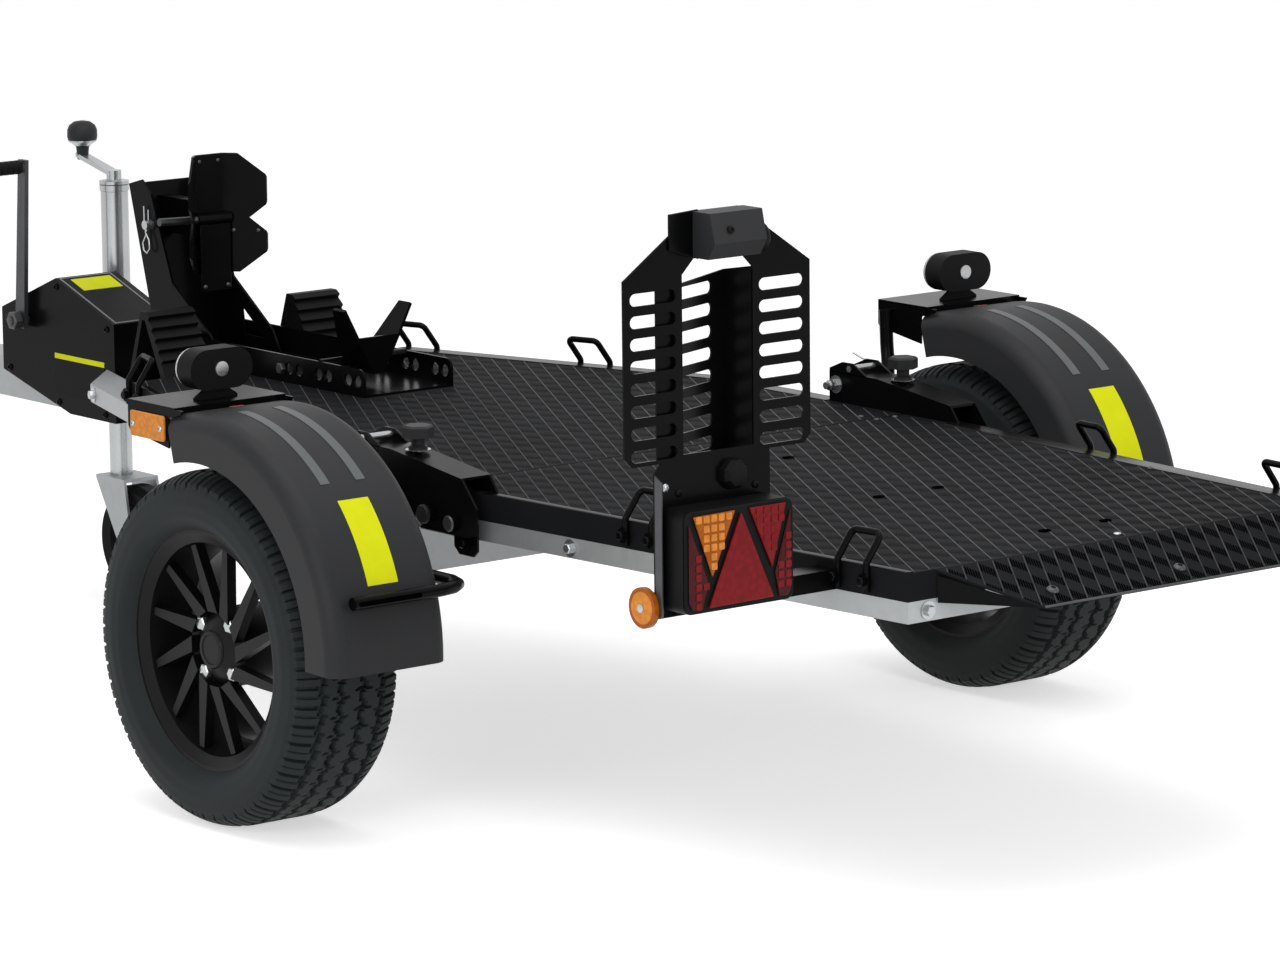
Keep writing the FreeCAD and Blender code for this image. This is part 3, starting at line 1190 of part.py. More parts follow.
def number_panel(body):
    """The slotted panel with a window, and the folded screen that closes the window from ahead."""
    centre = "panel_centre_y"
    half = "( panel_width / 2 )"
    top_half = "( panel_top_width / 2 )"
    cut = "12"
    panel = new_sketch(body, "YZ", "panel", "lamp_station")
    loop(panel, [(f"{centre} - {half} + {cut}", PANEL_BOTTOM), (f"{centre} + {half} - {cut}", PANEL_BOTTOM),
                 (f"{centre} + {half}", f"{PANEL_BOTTOM} + {cut}"), (f"{centre} + {half}", PANEL_SHOULDER),
                 (f"{centre} + {top_half}", PANEL_TOP), (f"{centre} - {top_half}", PANEL_TOP),
                 (f"{centre} - {half}", PANEL_SHOULDER), (f"{centre} - {half}", f"{PANEL_BOTTOM} + {cut}")])
    pad(body, panel, "panel_thickness", False, "Panel")
    gap = "( window_width / 2 )"
    low = f"( {PANEL_BOTTOM} + window_sill )"
    window = new_sketch(body, "YZ", "window", "lamp_station")
    loop(window, [(f"{centre} - {gap}", low), (f"{centre} + {gap}", low),
                  (f"{centre} + {gap}", PANEL_SHOULDER), (f"{centre} + {gap} - 20", f"{PANEL_SHOULDER} + 20"),
                  (f"{centre} - {gap} + 20", f"{PANEL_SHOULDER} + 20"), (f"{centre} - {gap}", PANEL_SHOULDER)])
    pocket(body, window)
    row = new_sketch(body, "YZ", "slots", "lamp_station")
    for shift in ("", "- "):
        slot(row, f"{centre} + {shift}( window_width + panel_width ) / 4", f"{PANEL_BOTTOM} + window_sill + 6",
             "slot_length", "slot_height")
    slots = pocket(body, row, name="Slots")
    rows = body.newObject("PartDesign::LinearPattern", "SlotRows")
    rows.Originals = [slots]
    rows.Direction = (origin_feature(body, "Z_Axis"), [""])
    rows.setExpression("Length", bind("slot_pitch * 7"))
    rows.Occurrences = 8
    body.Tip = rows
    screen = new_sketch(body, "XY", "screen", low)
    skin = "panel_thickness"
    ridge_x = "( lamp_station + screen_reach )"
    ridge_y = f"( {centre} - 0.74 * {gap} )"
    loop(screen, [("lamp_station", f"{centre} + {gap}"), ("lamp_station", f"{centre} + {gap} + {skin}"),
                  (f"{ridge_x} + {skin}", ridge_y), ("lamp_station", f"{centre} - {gap} - {skin}"),
                  ("lamp_station", f"{centre} - {gap}"), (ridge_x, ridge_y)])
    pad(body, screen, f"{PANEL_SHOULDER} - {low} - 12", False, "Screen")


def lamps():
    made = []
    for side, sign in SIDES:
        body = doc.addObject("PartDesign::Body", f"{side}_lamp")
        place(body, y=f"{sign} * lamp_centre_y", z=LAMP_Z)
        sketch = new_sketch(body, "YZ", "outline", "lamp_station - lamp_depth")
        wide = "( lamp_width / 2 )"
        tall = "( lamp_height / 2 )"
        loop(sketch, [(f"- {wide}", f"- {tall}"), (wide, f"- {tall}"), (wide, tall), (f"- {wide}", tall)])
        block = pad(body, sketch, "lamp_depth", False)
        rounded(body, block, "14", along_axis("x"))
        made.append(body)
    compound("rear_lamps", made)
    body = new_body("plate_lamp", y="panel_centre_y", z=PANEL_TOP)
    sketch = new_sketch(body, "XZ", "profile")
    loop(sketch, [("lamp_station", "- 62"), ("lamp_station - 36", "- 62"), ("lamp_station - 50", "- 40"),
                  ("lamp_station - 40", "0"), ("lamp_station", "0")])
    pad(body, sketch, "90")
    made = []
    for side, sign in SIDES:
        disc = doc.addObject("PartDesign::Body", f"{side}_reflector")
        place(disc, x="axle_x + lamp_station + 20", y=f"{sign} * ( lamp_centre_y + lamp_width / 2 + 10 )",
              z=f"{RAIL_TOP} + 14")
        sketch = new_sketch(disc, "XZ", "disc")
        circle(sketch, "0", "0", "28")
        feature = pad(disc, sketch, "8", False)
        feature.Reversed = sign > 0
        made.append(disc)
    compound("side_reflectors", made)


front_deck_plate()
rear_deck_plate()
rails()
crossmembers()
drawbar()
coupling_head()
axle_beam()
suspension_arms()
for side, sign in SIDES:
    fender(side, sign)
    fender_stays(side, sign)
    lock_bracket(side, sign)
    lock_knob(side, sign)
    tyre(side, sign)
    rim(side, sign)
    lamp_bracket(side, sign)
marker_lamps()
winch()
winch_crank()
jockey()
chock_base()
chock_tower()
chock_cradle()
chock_rocker()
chock_wedges()
lashing_rings()
lamps()

doc.recompute()
for item in doc.Objects:
    if "Invalid" in item.State or "Error" in item.State:
        raise RuntimeError(f"{item.Label} is {item.State}")
for piece in pieces:
    if piece.Shape.isNull() or not piece.Shape.isValid():
        raise RuntimeError(f"{piece.Label} has no valid shape")
for piece in pieces:
    piece.Shape.exportStep(f"parts/{piece.Label}.step")
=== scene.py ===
"""Studio view of a motorcycle trailer, laid out as a Blender add-on.

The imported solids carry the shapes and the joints. The operators below dress them: tread on the tyres, the
raised bars of the chequer plate, fasteners, lamp lenses and trim, then the finishes and the studio.
"""
import json
import math

import bmesh
import bpy
from mathutils import Matrix, Vector
from mathutils.geometry import tessellate_polygon


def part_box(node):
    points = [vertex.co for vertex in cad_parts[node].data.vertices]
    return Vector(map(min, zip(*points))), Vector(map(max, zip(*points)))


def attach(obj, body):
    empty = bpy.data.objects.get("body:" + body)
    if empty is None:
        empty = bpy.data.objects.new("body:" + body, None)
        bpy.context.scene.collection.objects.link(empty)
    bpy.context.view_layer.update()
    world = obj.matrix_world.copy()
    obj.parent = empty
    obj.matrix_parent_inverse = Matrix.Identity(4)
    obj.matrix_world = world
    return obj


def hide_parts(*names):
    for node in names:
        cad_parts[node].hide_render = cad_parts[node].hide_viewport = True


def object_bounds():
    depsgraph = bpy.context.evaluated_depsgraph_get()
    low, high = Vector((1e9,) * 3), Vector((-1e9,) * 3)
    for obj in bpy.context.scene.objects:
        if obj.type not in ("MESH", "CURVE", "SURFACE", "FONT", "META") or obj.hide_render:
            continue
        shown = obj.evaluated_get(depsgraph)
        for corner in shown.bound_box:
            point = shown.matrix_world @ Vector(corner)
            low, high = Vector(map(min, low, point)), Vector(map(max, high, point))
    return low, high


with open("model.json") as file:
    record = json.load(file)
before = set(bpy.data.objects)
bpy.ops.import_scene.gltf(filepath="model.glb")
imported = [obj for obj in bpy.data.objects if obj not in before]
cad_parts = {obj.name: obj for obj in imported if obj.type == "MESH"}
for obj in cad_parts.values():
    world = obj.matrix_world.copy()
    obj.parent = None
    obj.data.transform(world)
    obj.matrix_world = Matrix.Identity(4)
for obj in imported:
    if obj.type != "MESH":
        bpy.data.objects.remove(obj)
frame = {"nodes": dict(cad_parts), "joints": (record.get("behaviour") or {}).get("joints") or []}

bl_info = {
    "name": "Motorcycle trailer",
    "version": (1, 0, 0),
    "blender": (4, 5, 0),
    "location": "View3D > Sidebar > Trailer",
    "description": "Dresses the solids of a motorcycle trailer and sets up a studio for it",
    "category": "Object",
}

CAD_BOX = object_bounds()
MM = 0.001
JOINTS = {joint["name"]: joint for joint in frame["joints"]}
SIDES = (("left", 1), ("right", -1))


def joint_place(name):
    return Vector(JOINTS[name]["pos_m"])


def hub(side):
    return joint_place(side + "_wheel_spin")


AXLE = hub("left").x
UP = Vector((0, 0, 1))
LEFT = Vector((0, 1, 0))
AHEAD = Vector((1, 0, 0))
BACK = Vector((-1, 0, 0))


class TrailerSizes(bpy.types.PropertyGroup):
    tread_depth: bpy.props.FloatProperty(name="Tread depth", description="Depth of the tyre's grooves",
                                         default=0.007, unit="LENGTH")
    tread_steps: bpy.props.IntProperty(name="Tread steps", description="Steps round the tyre", default=990)
    bar_cell: bpy.props.FloatProperty(name="Tread cell", description="Side of one diamond of the tread",
                                      default=0.028, unit="LENGTH")
    bar_height: bpy.props.FloatProperty(name="Bar height", description="How far the chequer bars stand up",
                                        default=0.0012, unit="LENGTH")
    bolt_across: bpy.props.FloatProperty(name="Bolt size", description="Frame bolts, across the flats",
                                         default=0.015, unit="LENGTH")
    lens_bevel: bpy.props.FloatProperty(name="Lens edge", description="Rounding of the lamp lenses",
                                        default=0.0015, unit="LENGTH")
    focal_length: bpy.props.FloatProperty(name="Focal length",
                                          description="Lens of the camera, in millimetres",
                                          default=168.53)


class TrailerColours(bpy.types.PropertyGroup):
    powder: bpy.props.StringProperty(name="Powder coat", description="Black powder coat", default="#080909")
    plate: bpy.props.StringProperty(name="Chequer plate", description="Coated deck plate", default="#191a1b")
    zinc: bpy.props.StringProperty(name="Galvanising", description="Zinc on the frame", default="#a9acad")
    fender: bpy.props.StringProperty(name="Fender", description="Moulded fender plastic", default="#242526")
    rubber: bpy.props.StringProperty(name="Tyre", description="Tyre rubber", default="#1b2020")
    wheel: bpy.props.StringProperty(name="Wheel", description="Lacquered alloy", default="#0d0d0e")
    red_lens: bpy.props.StringProperty(name="Red lens", description="Red acrylic", default="#7c0e15")
    amber_lens: bpy.props.StringProperty(name="Amber lens", description="Amber acrylic", default="#a8580f")
    bar: bpy.props.StringProperty(name="Bar", description="Phosphated bar and pins", default="#484a4b")
    label: bpy.props.StringProperty(name="Label", description="Blank vinyl label", default="#e2e61a")


def colours():
    return bpy.context.scene.trailer_colours


def tint(text, alpha=1.0):
    """An sRGB hex colour as linear values."""
    parts = [int(text[i:i + 2], 16) / 255 for i in (1, 3, 5)]
    return [c / 12.92 if c <= 0.04045 else ((c + 0.055) / 1.055) ** 2.4 for c in parts] + [alpha]


def shaded(text, factor):
    return [c * factor for c in tint(text)[:3]] + [1.0]


def add(material, kind, settings=None, **links):
    """Add a node with its settings and its links; a link is a value or another node's output."""
    node = material.node_tree.nodes.new(kind)
    for key, value in (settings or {}).items():
        if key in node.inputs:
            node.inputs[key].default_value = value
        else:
            setattr(node, key, value)
    for key, source in links.items():
        material.node_tree.links.new(source, node.inputs[key.replace("_", " ")])
    return node


def new_material(name):
    """An empty material with its output, a Principled shader and object coordinates."""
    material = bpy.data.materials.new(name)
    material.use_nodes = True
    nodes = material.node_tree.nodes
    shader = nodes["Principled BSDF"]
    place = add(material, "ShaderNodeTexCoord").outputs["Object"]
    return material, shader, place


def per_mm(size):
    """Noise scale for a grain of that size, in millimetres, on coordinates in metres."""
    return 1000.0 / size


def mixed(material, factor, dark, light):
    ramp = add(material, "ShaderNodeValToRGB", Fac=factor)
    ramp.color_ramp.elements[0].color = dark
    ramp.color_ramp.elements[1].color = light
    ramp.color_ramp.elements[0].position = 0.3
    ramp.color_ramp.elements[1].position = 0.7
    return ramp.outputs["Color"]


def ranged(material, factor, low, high):
    return add(material, "ShaderNodeMapRange", {"To Min": low, "To Max": high},
               Value=factor).outputs["Result"]


def finish(material, shader, colour, roughness, height=None, strength=0.2, depth=0.0005):
    links = material.node_tree.links
    links.new(colour, shader.inputs["Base Color"])
    links.new(roughness, shader.inputs["Roughness"])
    if height is not None:
        bump = add(material, "ShaderNodeBump", {"Strength": strength, "Distance": depth}, Height=height)
        links.new(bump.outputs["Normal"], shader.inputs["Normal"])
    return material


def tones(base, low, high):
    return shaded(base, low), shaded(base, high)


def grained(name, tone_pair, rough, cloud, relief=None, grain=None, grain_rough=False, **sockets):
    """A finish whose tone and roughness follow a soft noise, given as its size in mm and its detail.

    The relief, as strength and depth, follows that noise, or the grain, which can carry the roughness too."""
    material, shader, place = new_material(name)
    for socket, value in sockets.items():
        shader.inputs[socket.replace("_", " ")].default_value = value

    def noise(size, detail):
        settings = {"Scale": per_mm(size), "Detail": detail}
        return add(material, "ShaderNodeTexNoise", settings, Vector=place).outputs["Fac"]
    soft = noise(*cloud)
    fine = noise(*grain) if grain else soft
    roughness = ranged(material, fine if grain_rough else soft, *rough)
    bump = (fine, *relief) if relief else ()
    return finish(material, shader, mixed(material, soft, *tone_pair), roughness, *bump)


def powder_coat():
    """Polyester powder on steel: satin black with the faint orange peel of a baked coat.

    The peel is drawn at 6 mm, coarser than the real 1 mm, which would be too fine to show."""
    return grained("black_powder_coat", tones(colours().powder, 0.8, 1.25), (0.2, 0.27), (160, 3.0),
                   (0.06, 0.0003), (6, 2.0), Specular_IOR_Level=0.06)


def chequer_plate():
    """Coated chequer plate: matt black with a fine grit, rubbed paler where boots and tyres have crossed it."""
    return grained("coated_chequer_plate", tones(colours().plate, 0.8, 1.3), (0.5, 0.66), (220, 4.0),
                   (0.2, 0.0003), (4, 3.0), grain_rough=True, Specular_IOR_Level=0.02)


def galvanised_steel():
    """Hot-dip galvanised steel: an even dull silver, with a zinc spangle of about 18 mm that hardly shows."""
    return grained("galvanised_steel", tones(colours().zinc, 0.95, 1.04), (0.42, 0.5), (18, 2.0),
                   (0.04, 0.0003), Metallic=0.6)


def bright_zinc():
    """Zinc-plated fasteners and drawn tube: brighter and smoother than dipped steel, with a faint long haze."""
    return grained("zinc_plated_steel", tones(colours().zinc, 1.02, 1.18), (0.2, 0.3), (70, 2.0),
                   (0.03, 0.0002), Metallic=0.85)


def dark_steel():
    """Phosphated steel bar: a dark grey metal with a soft sheen and slight drawn streaks."""
    return grained("phosphated_steel", tones(colours().bar, 0.88, 1.12), (0.34, 0.46), (25, 3.0),
                   (0.05, 0.0003), Metallic=0.7)


def moulded_fender():
    """Injection-moulded polypropylene: dark grey with a spark-eroded grain.

    The grain is drawn at 4 mm, coarser than the real 1 mm, which would be too fine to show."""
    return grained("moulded_polypropylene", tones(colours().fender, 0.94, 1.08), (0.46, 0.56), (120, 3.0),
                   (0.1, 0.0003), (4, 2.0), Specular_IOR_Level=0.2)


def tyre_rubber():
    """Vulcanised rubber: blackish green-grey with a dusty bloom."""
    return grained("tyre_rubber", tones(colours().rubber, 0.85, 1.25), (0.55, 0.7), (60, 6.0),
                   (0.15, 0.0003), (4, 3.0), Specular_IOR_Level=0.2)


def lacquered_alloy():
    """Cast alloy under satin black lacquer, with a clear coat that gives a soft sheen on each spoke."""
    return grained("lacquered_alloy", tones(colours().wheel, 0.9, 1.15), (0.34, 0.42), (40, 2.0),
                   (0.05, 0.0002), Specular_IOR_Level=0.1, Coat_Weight=0.08, Coat_Roughness=0.25)


def moulded_black():
    """Moulded nylon and rubber fittings: matt black with a soft grain."""
    return grained("moulded_nylon", tones(colours().powder, 0.9, 1.5), (0.45, 0.6), (5, 2.0),
                   (0.12, 0.0003), Specular_IOR_Level=0.1)


def acrylic(name, base):
    """Moulded acrylic lens: glossy, with prisms behind the skin.

    The prisms are drawn as 9 mm cells, coarser than the real 3 mm, which would be too fine to show."""
    material, shader, place = new_material(name)
    shader.inputs["Specular IOR Level"].default_value = 0.12
    prisms = add(material, "ShaderNodeTexVoronoi", {"Scale": per_mm(9)}, Vector=place).outputs["Distance"]
    colour = mixed(material, prisms, *tones(base, 1.06, 0.86))
    return finish(material, shader, colour, ranged(material, prisms, 0.12, 0.25), prisms, 0.15, 0.0004)


def vinyl(name, base):
    """Printed vinyl label left blank: even colour with a slight sheen and a faint ripple."""
    return grained(name, tones(base, 0.94, 1.0), (0.35, 0.45), (30, 2.0), (0.1, 0.0002),
                   Specular_IOR_Level=0.06)


def painted_highlight_crest():
    """The crests of the tread, painted a lighter grey than the plate as a painted highlight along the diamond lines.
    """
    return grained("tread_crest_painted_highlight", (tint("#2b2e2e"), tint("#565a5a")), (0.4, 0.55), (35, 4.0),
                   (0.05, 0.0002), Specular_IOR_Level=0.2)


def shaded_pit():
    """Painted shade: the dark of a drain hole, a slot or a cut between tread bars, black with hardly any sheen; it is
    also laid on the ramp lip's bars for their shaded sides.
    """
    return grained("shaded_recess", (tint("#020202"), tint("#070808")), (0.8, 0.95), (30, 2.0),
                   Specular_IOR_Level=0.0)


FINISHES = {}


def surface(name):
    """One of the finishes, made when it is first asked for."""
    makers = {
        "powder": powder_coat, "plate": chequer_plate, "galvanised": galvanised_steel, "zinc": bright_zinc,
        "fender": moulded_fender, "rubber": tyre_rubber, "alloy": lacquered_alloy, "nylon": moulded_black,
        "bar": dark_steel, "crest": painted_highlight_crest, "pit": shaded_pit,
        "red": lambda: acrylic("red_acrylic", colours().red_lens),
        "dark_red": lambda: acrylic("deep_red_acrylic", "#480c11"),
        "orange": lambda: acrylic("orange_acrylic", "#dd8a35"),
        "amber": lambda: acrylic("amber_acrylic", colours().amber_lens),
        "clear": lambda: acrylic("clear_acrylic", "#c9cccd"),
        "label": lambda: vinyl("yellow_vinyl", colours().label),
        "grey_strip": lambda: vinyl("grey_vinyl_strip", "#696c6d"),
        "black_label": lambda: vinyl("black_vinyl", "#0b0b0b"),
        "pale_label": lambda: vinyl("pale_grey_vinyl", "#8e9192"),
        "red_label": lambda: vinyl("red_vinyl", "#b02530"),
    }
    if name not in FINISHES:
        FINISHES[name] = makers[name]()
    return FINISHES[name]


def piece(name, mesh_builder, finish_name, body, smooth_angle=None, bevel=0.0):
    """Turn a bmesh into an object with a finish that rides on a body."""
    mesh = bpy.data.meshes.new(name)
    mesh_builder.normal_update()
    mesh_builder.to_mesh(mesh)
    mesh_builder.free()
    obj = bpy.data.objects.new(name, mesh)
    bpy.context.scene.collection.objects.link(obj)
    mesh.materials.append(surface(finish_name))
    if smooth_angle is not None:
        mesh.shade_smooth()
        mesh.set_sharp_from_angle(angle=math.radians(smooth_angle))
    if bevel:
        edge = obj.modifiers.new("Bevel", "BEVEL")
        edge.width = bevel
        edge.segments = 2
        edge.limit_method = "ANGLE"
    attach(obj, body)
    return obj


def basis(axis):
    """A rotation whose third axis points along the given one."""
    axis = Vector(axis).normalized()
    return axis.to_track_quat("Z", "Y").to_matrix().to_4x4()


def stack(bm, at, axis, rings, sides, turn=0.0):
    """Rings of (height, radius) along an axis, joined into one closed turned shape."""
    matrix = Matrix.Translation(Vector(at)) @ basis(axis)
    loops = []
    for height, radius in rings:
        loop = []
        for index in range(sides):
            angle = turn + 2 * math.pi * index / sides
            loop.append(bm.verts.new(matrix @ Vector((radius * math.cos(angle), radius * math.sin(angle),
                                                      height))))
        loops.append(loop)
    for low, high in zip(loops, loops[1:]):
        for index in range(sides):
            after = (index + 1) % sides
            bm.faces.new((low[index], low[after], high[after], high[index]))
    bm.faces.new(list(reversed(loops[0])))
    bm.faces.new(loops[-1])


def turned(name, body, finish_name, at, axis, rings, sides, smooth_angle=30, turn=0.0):
    """One turned shape as a piece of its own."""
    bm = bmesh.new()
    stack(bm, at, axis, rings, sides, turn)
    return piece(name, bm, finish_name, body, smooth_angle=smooth_angle)


def hex_bolt(bm, at, axis, across, washer=True):
    """A hexagon head with a chamfered top on a flat washer."""
    radius = across / math.sqrt(3)
    low = 0.0
    if washer:
        stack(bm, at, axis, ((0, across * 0.95), (across * 0.12, across * 0.95)), 24)
        low = across * 0.12
    high = low + across * 0.55
    stack(bm, at, axis, ((low, radius), (high - across * 0.08, radius), (high, radius * 0.84)), 6)


def button_head(bm, at, axis, across):
    """A domed screw head with a hexagon recess."""
    half = across / 2
    stack(bm, at, axis, ((0, half), (across * 0.12, half), (across * 0.26, half * 0.8),
                         (across * 0.32, half * 0.5),
                         (across * 0.33, half * 0.42), (across * 0.18, half * 0.4)), 20)


def bolts(name, body, finish_name, places, across, kind=hex_bolt):
    """Heads of one sort at (place, axis) pairs."""
    bm = bmesh.new()
    for at, axis in places:
        kind(bm, at, axis, across)
    return piece(name, bm, finish_name, body, smooth_angle=35)


def slab(bm, outline, lift, origin, u, v, normal):
    """A flat outline of (u, v) points raised along the normal."""
    low = [bm.verts.new(origin + u * a + v * b) for a, b in outline]
    high = [bm.verts.new(origin + u * a + v * b + normal * lift) for a, b in outline]
    count = len(outline)
    bm.faces.new(list(reversed(low)))
    bm.faces.new(high)
    for index in range(count):
        after = (index + 1) % count
        bm.faces.new((low[index], low[after], high[after], high[index]))
    bmesh.ops.recalc_face_normals(bm, faces=bm.faces)


def pierce(bm, outline, holes, lift, origin, u, v, normal):
    """A flat plate with holes through it, from outlines in (u, v), raised along the normal."""
    loops = [outline] + holes
    spots = [spot for loop in loops for spot in loop]
    low = [bm.verts.new(origin + u * a + v * b) for a, b in spots]
    high = [bm.verts.new(origin + u * a + v * b + normal * lift) for a, b in spots]
    for corners in tessellate_polygon([[Vector((a, b, 0)) for a, b in loop] for loop in loops]):
        bm.faces.new([low[index] for index in corners])
        bm.faces.new([high[index] for index in reversed(corners)])
    start = 0
    for loop in loops:
        for index in range(len(loop)):
            here, after = start + index, start + (index + 1) % len(loop)
            bm.faces.new((low[here], low[after], high[after], high[here]))
        start += len(loop)
    bmesh.ops.recalc_face_normals(bm, faces=bm.faces)


def moved(outline, a, b):
    return [(x + a, y + b) for x, y in outline]


def wire(bm, points, radius, sides=10):
    """A round bar along a run of points, capped at both ends."""
    spots = [Vector(point) for point in points]
    across = None
    loops = []
    for index, spot in enumerate(spots):
        before = spots[max(index - 1, 0)]
        after = spots[min(index + 1, len(spots) - 1)]
        along = (after - before).normalized()
        if across is None:
            across = along.orthogonal()
        across = (across - along * across.dot(along)).normalized()
        upright = along.cross(across)
        loops.append([bm.verts.new(spot + (across * math.cos(turn) + upright * math.sin(turn)) * radius)
                      for turn in (2 * math.pi * step / sides for step in range(sides))])
    for here, there in zip(loops, loops[1:]):
        for index in range(sides):
            after = (index + 1) % sides
            bm.faces.new((here[index], here[after], there[after], there[index]))
    bm.faces.new(list(reversed(loops[0])))
    bm.faces.new(loops[-1])


def rounded_box(wide, tall, radius, steps=5):
    """Outline of a rounded rectangle from its half sizes."""
    outline = []
    for quarter, (a, b) in enumerate(((1, 1), (-1, 1), (-1, -1), (1, -1))):
        for step in range(steps + 1):
            turn = math.radians(90 * quarter + 90 * step / steps)
            outline.append((a * (wide - radius) + radius * math.cos(turn),
                            b * (tall - radius) + radius * math.sin(turn)))
    return outline


def plate(name, body, finish_name, outline, lift, origin, u, v, normal, bevel=0.0):
    """One flat outline raised into a plate, as a piece of its own."""
    bm = bmesh.new()
    slab(bm, outline, lift, Vector(origin), Vector(u), Vector(v), Vector(normal))
    return piece(name, bm, finish_name, body, smooth_angle=30, bevel=bevel)


def at_mm(x, y, z):
    """A place in millimetres with X counted from the axle."""
    return Vector((AXLE + x * MM, y * MM, z * MM))


SIDEWALL = ((165.3, 65), (173, 69.5), (178.3, 75), (181, 80), (184.5, 83.5), (191, 90), (200, 94),
            (204, 93.4),
            (212, 95), (222, 94.6), (232.5, 91.5), (236, 91.6), (238, 90.3))


def groove(across, along, period):
    """How deep the tread is cut at a place, from 0 on a block to 1 in a groove."""
    wave = math.sin(2 * math.pi * along / period)
    side = abs(across)
    for centre, width in ((19, 3.2), (52, 3.8)):
        if abs(side - centre - 3.5 * wave) < width:
            return 1.0
    phase = (along / period) % 1.0
    if side > 57:
        return 0.8 if phase < 0.16 else (0.4 if 0.5 < phase < 0.6 else 0.0)
    if side > 26:
        shift = (along / period + across * 0.012) % 1.0
        return 0.7 if shift < 0.11 and (side < 36 or side > 42) else 0.0
    shift = (along / period + 0.5 - across * 0.015) % 1.0
    return 0.7 if shift < 0.11 and side > 4 else 0.0


class TRAILER_OT_tyres(bpy.types.Operator):
    """Model the road tyres with ribs, sipes and shoulder blocks"""
    bl_idname = "trailer.tyres"
    bl_label = "Tyres"

    def execute(self, context):
        steps = context.scene.trailer_sizes.tread_steps
        depth = context.scene.trailer_sizes.tread_depth
        repeats = 55
        tread_points = [-88 + 4.0 * index for index in range(45)]
        for side, sign in SIDES:
            centre = hub(side)
            low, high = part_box(side + "_tyre")
            outer = (high.z - low.z) / 2 / MM
            half = (high.y - low.y) / 2 / MM
            bm = bmesh.new()
            rows = []
            for index in range(steps):
                angle = 2 * math.pi * index / steps
                along = angle * outer
                row = []
                for radius, across in SIDEWALL:
                    row.append((radius, -across))
                for across in tread_points:
                    over = max(0.0, abs(across) - 38) / (half - 38)
                    crown = outer - 21 * over ** 2.6
                    row.append((crown - depth / MM * groove(across, along, 2 * math.pi * outer / repeats),
                                across))
                for radius, across in reversed(SIDEWALL):
                    row.append((radius, across))
                row += [(172, 55), (206, 78), (240, 74), (240, -74), (206, -78), (172, -55)]
                rows.append([bm.verts.new(centre + Vector((radius * MM * math.cos(angle), across * MM,
                                                           radius * MM * math.sin(angle)))) for radius,
                                                           across in row])
            count = len(rows[0])
            for index in range(steps):
                here, there = rows[index], rows[(index + 1) % steps]
                for place in range(count):
                    after = (place + 1) % count
                    bm.faces.new((here[place], here[after], there[after], there[place]))
            bmesh.ops.recalc_face_normals(bm, faces=bm.faces)
            tyre = piece(side + "_road_tyre", bm, "rubber", side + "_wheel", smooth_angle=38)
            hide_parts(side + "_tyre")
        return {"FINISHED"}


def ridge(bm, start, end, half, height, normal):
    """A low bar of triangular section with sloping ends."""
    along = (end - start).normalized()
    side = normal.cross(along) * half
    base = [bm.verts.new(spot) for spot in (start - side, end - side, end + side, start + side)]
    top = [bm.verts.new(start + along * half + normal * height),
           bm.verts.new(end - along * half + normal * height)]
    bm.faces.new((base[0], base[1], top[1], top[0]))
    bm.faces.new((base[2], base[3], top[0], top[1]))
    bm.faces.new((base[1], base[2], top[1]))
    bm.faces.new((base[3], base[0], top[0]))
    bm.faces.new((base[3], base[2], base[1], base[0]))


LEAN = math.radians(30)


def diamonds(lines, bars, origin, along, side, normal, cell, height, allowed, rows, columns):
    """A lattice of diamonds: long thin crests one way, and short bars in every other row of diamonds."""
    first = (along * math.cos(LEAN) + side * math.sin(LEAN)) * cell
    second = (along * math.cos(LEAN) - side * math.sin(LEAN)) * cell
    for row in range(-1, rows):
        for column in range(-columns, columns):
            if (row + column) % 2:
                continue
            corner = origin + first * ((row + column) // 2) + second * ((row - column) // 2)
            runs = [(lines, corner, corner + first, 0.0008)]
            if row % 2 == 0:
                for index in range(1, 7):
                    foot = corner + second * (index / 7)
                    runs.append((bars, foot + first * 0.1, foot + first * 0.88, 0.0012))
            for target, start, end, half in runs:
                spots = [start.lerp(end, step / 8) for step in range(9)]
                kept = [spot for spot in spots if allowed(spot)]
                if len(kept) > 2:
                    ridge(target, kept[0], kept[-1], half, height, normal)


def edge_at(x):
    """Half width of the deck at a place along X, in millimetres from the axle."""
    if x > 362:
        return 474 - (x - 362) * (474 - 277) / (960 - 362)
    if x > -117:
        return 474
    return 474 + (x + 117) * (474 - 405) / (1097 - 117)



def band_at(y):
    """Width of the smooth band along the deck's edge, in millimetres: narrow on the left, broad on the right."""
    return 14 if y > 0 else 36


def edge_strip(bm, xs, sign, top):
    """A smooth band along the deck's edge, with its outer corner rounded over."""
    band = band_at(sign)
    section = ((band, 0.0), (band - 1.5, 1.4), (2.6, 1.4), (0.9, 0.9), (0.2, 0.1))
    loops = []
    for x in xs:
        loops.append([bm.verts.new(at_mm(x, sign * (edge_at(x) - inset), top + lift)) for inset,
                      lift in section])
    for here, there in zip(loops, loops[1:]):
        for index in range(len(section)):
            after = (index + 1) % len(section)
            bm.faces.new((here[index], here[after], there[after], there[index]))
    bm.faces.new(loops[0])
    bm.faces.new(list(reversed(loops[-1])))
    bmesh.ops.recalc_face_normals(bm, faces=bm.faces)


